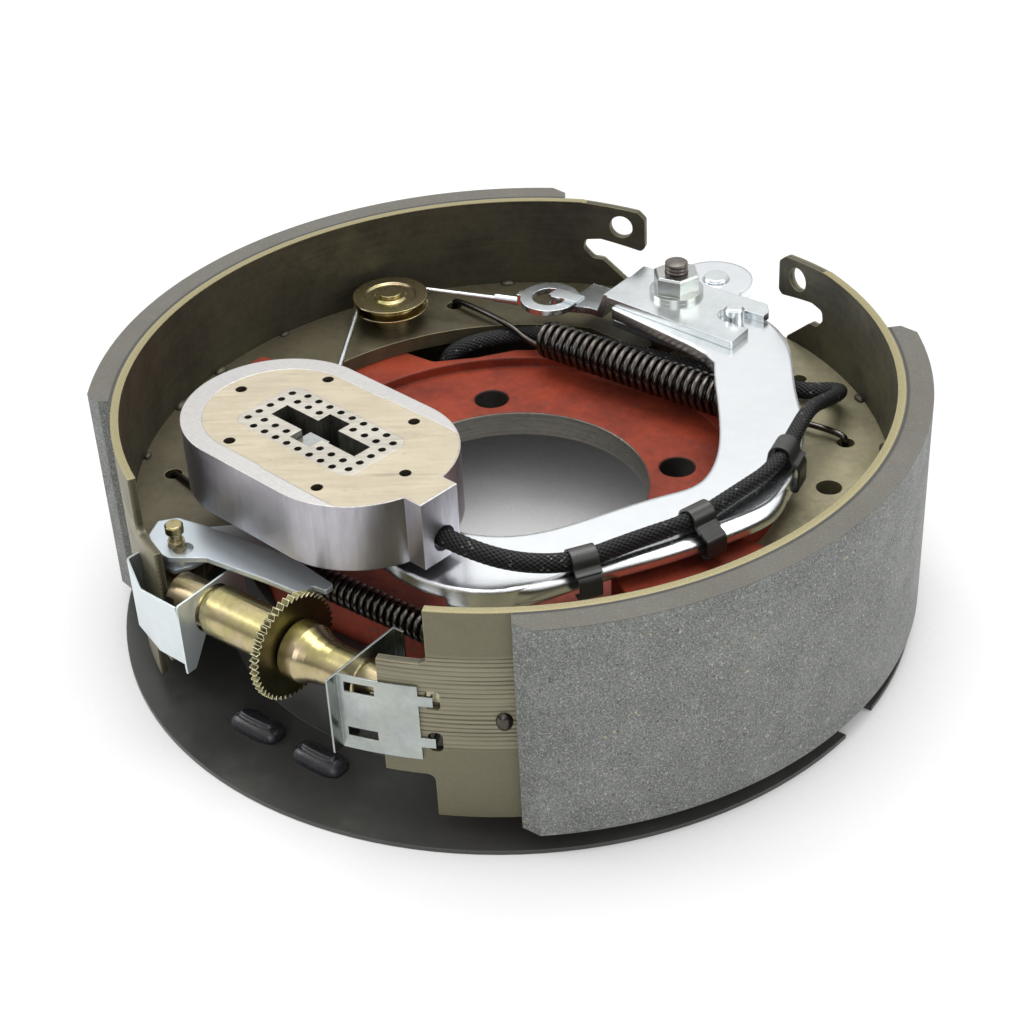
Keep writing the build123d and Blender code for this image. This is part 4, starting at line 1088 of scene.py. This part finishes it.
@dataclass
class RimBead:
    """The small weld bead on the right rim beside the lining's end."""

    radius: float = 144.6
    angle_deg: float = 143.5
    height: float = 16.0
    size: Point = (2.9, 2.2, 3.8)

    def build(self, paints: Paints) -> None:
        """Makes one flattened ball on the rim's outer face."""
        mesh = clean_poles(rim_ball(math.radians(self.angle_deg), self.radius, self.height, self.size, (13, 20)))
        paints.piece("rim_bead", mesh, SPRING_BLACK, "", Body.PRIMARY)


@dataclass
class LeadClips:
    """Three sheet clips that arch over the lead, flare to a lip and go down over the lever's edge.

    Each place is X, Y, the lever's edge beside the lead and the height at which the clip turns under.
    """

    sheet: float = 0.8
    width: float = 9.4
    leg_width: float = 8.4
    lead_z: float = 43.3
    arch: float = 4.15
    places: tuple[tuple[float, ...], ...] = ((78.5, -61.5, 7.2, 32.0), (97, -18.8, 9.8, 32.0), (98.5, 33.0, 6.6, 29.9))

    def profiles(self, leg: float, low: float) -> tuple[Array, Array]:
        """The arch: up, a half circle over the lead, and out to the lip; the leg: down the lever's edge and under."""
        bow = np.radians(np.linspace(180, 12, 22))
        over = np.stack([self.arch * np.cos(bow), self.lead_z + self.arch * np.sin(bow)], 1)
        lip = rounded_line([over[-1], (self.arch + 0.4, 42.2), (self.arch + 2.6, 41.0)], 1.4)
        arch = np.concatenate([[(-self.arch - 0.6, 39.4)], over, lip[1:]])
        down = rounded_line([(self.arch - 0.2, 42.8), (leg + 0.5, 39.2), (leg + 0.5, low), (leg - 3.5, low)], 1.6)
        return arch, down

    def build(self, paints: Paints) -> None:
        """Places each clip square to the lead's line at the point nearest to its place."""
        path = nurbs_points("clip_line", BraidedLead.route, 0.5 * MM) / MM
        meshes = []
        for x, y, leg, low in self.places:
            near = int(np.argmin(np.linalg.norm(path - np.array([x, y, self.lead_z]), axis=1)))
            along = unit((path[near + 3] - path[near - 3]) * LEVEL)
            out = np.array([along[1], -along[0], 0.0])
            for profile, width in zip(self.profiles(leg, low), (self.width, self.leg_width)):
                flat = line_normals(profile)
                line = path[near] * LEVEL + profile[:, :1] * out + profile[:, 1:] * UP
                meshes.append(band_mesh(line, along * width / 2, flat[:, :1] * out + flat[:, 1:] * UP, self.sheet))
        mesh = joined(meshes)
        mesh.shade_flat()
        paints.piece("lead_clip_bands", mesh, CLIP_PAINT, "lead_clips", Body.LEVER)


@dataclass
class LeverLip:
    """The rolled outer lip of the actuating lever, beside the lead.

    Each station is a place on the lever's edge and how far the lip stands out there. The section gives
    the share of that reach at each height.
    """

    inside: float = -1.2
    steps: int = 16
    stations: tuple[Point, ...] = (
        (104.8, 30.0, -0.6), (108.5, 11.6, 2.6), (105.0, -3.0, 4.4), (92.0, -30.0, 5.0),
        (80.0, -52.5, 3.9), (70.0, -74.6, 1.6), (63.5, -83.6, -0.6),
    )
    section: tuple[Flat, ...] = (
        (0.0, 38.92), (0.28, 38.8), (0.52, 38.4), (0.76, 37.8), (0.92, 37.1), (1.0, 36.4),
        (1.0, 35.0), (1.0, 33.6), (0.96, 33.0), (0.88, 32.6), (0.0, 32.6),
    )

    def build(self, paints: Paints) -> None:
        """Carries the section along the lever's edge."""
        line = smooth_line(np.array(self.stations), self.steps)
        share, height = np.array(self.section).T
        reach = (self.inside + share[None, :] * (line[:, 2:3] - self.inside))[..., None]
        points = line[:, None, :2] + reach * line_normals(line[:, :2])[:, None]
        shape = np.concatenate([points, np.broadcast_to(height[None, :, None], reach.shape)], 2)
        paints.piece("lever_lip", clean_poles(grid_mesh(shape * MM)), LEVER_ZINC, "", Body.LEVER)


@dataclass
class LeftClip:
    """The left shoe's sheet clip: wall across the adjuster, plain panel, and a slanting side back to the rim."""

    sheet: float = 0.8
    low: float = -1.0
    top: float = 28.2
    hole: float = 9.0
    wall_x: float = -33.5
    wall_y: Flat = (-143.6, -111.2)
    lean: float = 4.0
    flap: float = 9.0
    flap_y: float = -111.4
    flap_reach: float = 5.0
    turn_deg: Flat = (-58, 238)
    fade_x: Flat = (-68, -60)
    axis: Flat = (-127.5, 18.0)
    corners: tuple[Flat, ...] = ((-33.5, -144.0), (-51.5, -143.2), (-68.3, -133.0), (-67.6, -127.2))

    def wall(self) -> Mesh:
        """The wall round the adjuster: from the neck's circle out to the wall's edge, both read at each angle."""
        turn = np.radians(np.linspace(*self.turn_deg, 75))
        aim = np.stack([np.cos(turn), np.sin(turn)], 1)
        first = np.array([self.wall_y[0], self.low]) - self.axis
        last = np.array([self.wall_y[1], self.top]) - self.axis
        reach = np.where(aim > 0, last, first) / np.where(np.abs(aim) < 1e-6, 1e-6, aim)
        far = np.abs(reach).min(1)
        rows = []
        for radius, x in ((self.hole, -0.5), (far, -0.5), (far, 0.5), (self.hole, 0.5)):
            flat = aim * np.reshape(radius, (-1, 1)) + np.array(self.axis)
            rows.append(np.column_stack([np.full(len(flat), self.wall_x + x * self.sheet), flat]))
        return clean_poles(grid_mesh(np.stack(rows, 1) * MM))

    def build(self, paints: Paints) -> None:
        """Makes the wall, a flap, and a strip along the corners whose lower edge leans in towards the rim."""
        plan = rounded_line(self.corners, 1.2)
        fade = np.interp(plan[:, 0], self.fade_x, (0.0, 1.0))
        lean, level = fade * self.lean / 2, np.zeros(len(plan))
        middle = np.column_stack([plan[:, 0], plan[:, 1] + lean, level + (self.top + self.low) / 2])
        spread = np.column_stack([level, -lean, level + (self.top - self.low) / 2])
        normal = np.column_stack([line_normals(plan), level])
        ends = self.wall_x, self.wall_x - self.flap_reach
        flap = np.array([(x, self.flap_y, self.top - self.flap) for x in ends])
        bands = [
            band_mesh(middle, spread, normal, self.sheet),
            band_mesh(flap, UP * self.flap, np.tile([0.0, 1.0, 0.0], (2, 1)), self.sheet),
        ]
        mesh = joined([self.wall(), *bands])
        mesh.shade_flat()
        paints.piece("left_shoe_clip", mesh, LIT_LEFT_CLIP_ZINC, "secondary_clip", Body.SECONDARY)


@dataclass
class RubberPlugs:
    """The two domed plugs in the shield's slots, each with a raised bar on top.

    Each section is half the length, half the width and the height above the floor.
    """

    floor_z: float = -33.6
    roundness: float = 0.62
    places: tuple[Flat, ...] = ((-22.0, -125.0), (8.5, -125.5))
    sections: tuple[Point, ...] = (
        (8.9, 3.4, -1.6), (8.9, 3.4, 0.0), (11.0, 5.5, 0.0), (11.2, 5.6, 0.9), (10.9, 5.3, 2.0), (10.2, 4.7, 3.1),
        (9.1, 3.8, 4.0), (8.0, 2.9, 4.5), (7.7, 2.2, 4.7), (7.6, 2.0, 5.3), (7.2, 1.6, 5.7), (6.4, 1.0, 5.9),
    )

    def build(self, paints: Paints) -> None:
        """Makes each plug as rounded oblongs one above another: a power of the cosine and of the sine of the angle."""
        angle = around(48)
        long, wide, height = np.array(self.sections).T[..., None]
        across, up = (np.sign(part) * np.abs(part) ** self.roundness for part in (np.cos(angle), np.sin(angle)))
        meshes = []
        for x, y in self.places:
            shape = [x + long * across, y + wide * up, self.floor_z + height + 0 * angle]
            meshes.append(grid_mesh(np.stack(shape, -1) * MM))
        paints.piece("rubber_plugs", clean_poles(joined(meshes)), RUBBER, "slot_plugs", Body.BACKING)


SPRINGS = (
    CoilSpring(
        "upper_return_spring",
        "upper_spring",
        ends=(-44.0, 55.0),
        centre=(78.0, 24.0),
        radius=7.9,
        wire=2.5,
        turns=27,
        left=((-50, 78, 19.5), (-62, 79, 24.4), (-93.3, 83.0, 24.6), (-94.3, 83.2, 21), (-94.3, 83.2, 17)),
        right=((61, 78, 19.5), (72, 79, 24.4), (96.9, 80.5, 24.6), (97.9, 80.7, 21), (97.9, 80.7, 17)),
    ),
    CoilSpring(
        "lower_return_spring",
        "lower_spring",
        ends=(-18.0, 45.0),
        centre=(-97.0, 20.6),
        radius=5.5,
        wire=2.2,
        turns=20,
        left=((-24, -96, 18.2), (-38, -92.5, 22.7), (-101, -78.2, 23), (-102, -78, 20), (-102, -78, 17)),
        right=((50, -96, 18.2), (58, -93, 22.7), (101, -78.2, 23), (102, -78, 20), (102, -78, 17)),
    ),
)


@dataclass
class Studio:
    """Floor, soft lamps, white surroundings and the photograph's camera."""

    target: Point = (-22.04, 26.0, -25.7)
    azimuth: float = 39.14
    elevation: float = 34.62
    roll: float = -3.05
    distance: float = 832.89
    focal_px: float = 2057.2
    image_px: float = 1024.0
    sensor_mm: float = 36.0
    floor_z: float = -35.3
    floor_side: float = 4.0

    def camera(self) -> None:
        """Places the camera at its angles round the target and turns it by its roll."""
        a, e, r = (math.radians(v) for v in (self.azimuth, self.elevation, self.roll))
        back = Vector((math.sin(a) * math.cos(e), -math.cos(a) * math.cos(e), math.sin(e)))
        level = Vector((math.cos(a), math.sin(a), 0.0))
        rise = back.cross(level)
        right, up = math.cos(r) * level + math.sin(r) * rise, -math.sin(r) * level + math.cos(r) * rise
        data = bpy.data.cameras.new("photo_camera")
        data.sensor_width = self.sensor_mm
        data.lens = self.focal_px / self.image_px * self.sensor_mm
        data.clip_start, data.clip_end = 0.05, 20.0
        made = placed("photo_camera", data)
        place = (Vector(self.target) + back * self.distance) * MM
        made.matrix_world = Matrix.Translation(place) @ Matrix((right, up, back)).transposed().to_4x4()
        bpy.context.scene.camera = made

    def lights(self) -> None:
        """A broad square lamp overhead and weaker ones at the sides and in front, all facing the object."""
        lamps = (
            ("overhead", (-0.1, 0.25, 1.2), 1.0, 16.0),
            ("left_side", (-1.1, -0.5, 0.7), 0.7, 5.0),
            ("right_side", (1.0, 0.3, 0.6), 0.7, 3.5),
            ("front", (0.5, -1.1, 0.45), 0.6, 2.5),
        )
        for name, place, size, watts in lamps:
            data = bpy.data.lights.new(name, "AREA")
            data.energy, data.size = watts, size
            made = placed(name, data)
            made.location = place
            made.rotation_euler = (-Vector(place)).to_track_quat("-Z", "Y").to_euler()

    def world(self) -> None:
        """White to the camera; to metal bright overhead, and dark low down on the camera's side of the room."""
        world = bpy.data.worlds.new("studio")
        bpy.context.scene.world = world
        g = cleared(world)
        rays, where = g.add("LightPath").outputs, g.place()
        height = g.add("SeparateXYZ", where).outputs[2]
        a = math.radians(self.azimuth)
        facing = g.vector("DOT_PRODUCT", where, (math.sin(a), -math.cos(a), 0.0))
        shine = g.add("Mix", data_type="FLOAT")
        for index, value in ((0, g.span(height, 0.1, 0.7)), (2, g.span(facing, -0.5, 0.75, 0.75, 0.12)), (3, 1.12)):
            g.put(shine, index, value)
        strength = g.times(rays["Is Glossy Ray"], shine.outputs[0])
        for kind in ("Is Camera Ray", "Is Transmission Ray"):
            strength = g.math("MAXIMUM", strength, rays[kind])
        soft = g.times(rays["Is Diffuse Ray"], g.span(height, 0.0, 0.9, 0.22, 0.62))
        white = g.add("Background", (1, 1, 1), g.math("MAXIMUM", strength, soft))
        g.add("OutputWorld", Surface=white.outputs[0])

    def floor(self) -> None:
        """A wide pale floor that keeps the object's shadow, its glow darkened by ambient occlusion as painted shadow
        near and under the object.
        """
        mesh = bpy.data.meshes.new("floor")
        signs = ((-1, -1), (1, -1), (1, 1), (-1, 1))
        corners = [(x * self.floor_side, y * self.floor_side, self.floor_z * MM) for x, y in signs]
        mesh.from_pydata(corners, [], [(0, 1, 2, 3)])
        material = bpy.data.materials.new("floor_white")
        g = cleared(material)
        rays = g.add("LightPath").outputs
        seen = g.math("MAXIMUM", rays["Is Camera Ray"], g.times(rays["Is Glossy Ray"], 0.6))
        matt = g.add("BsdfDiffuse", (0.9, 0.9, 0.9))
        # Painted shadow: the glow seen by the camera and in reflections dims where ambient occlusion finds the object
        # close by, as in the bore and round the base.
        painted_shadow_ao = g.add("AmbientOcclusion", samples=8, Distance=0.13).outputs["AO"]
        glow = g.add("Emission", Strength=g.span(painted_shadow_ao, 0.05, 0.72))
        mixed = g.add("MixShader", g.times(seen, 0.72), matt.outputs[0], glow.outputs[0])
        g.add("OutputMaterial", Surface=mixed.outputs[0])
        mesh.materials.append(material)
        placed("floor", mesh)

    def build(self) -> None:
        """Sets up the whole studio."""
        self.camera()
        self.lights()
        self.world()
        self.floor()
        bpy.context.scene.view_settings.view_transform = "Standard"


def main() -> None:
    """Builds the brake's looks in order."""
    logging.basicConfig(level=logging.INFO, format="%(name)s: %(message)s")
    Studio().build()
    paints = Paints()
    welds = WeldNubs(1, Body.PRIMARY), WeldNubs(-1, Body.SECONDARY)
    sheets = LeadClips(), LeverLip(), LeftClip()
    for maker in (BraidedLead(), WireRope(), *SPRINGS, ThreadedStud(), *welds, *sheets, RubberPlugs(), RimBead()):
        maker.build(paints)
    paints.dress()


if __name__ == "__main__":
    main()
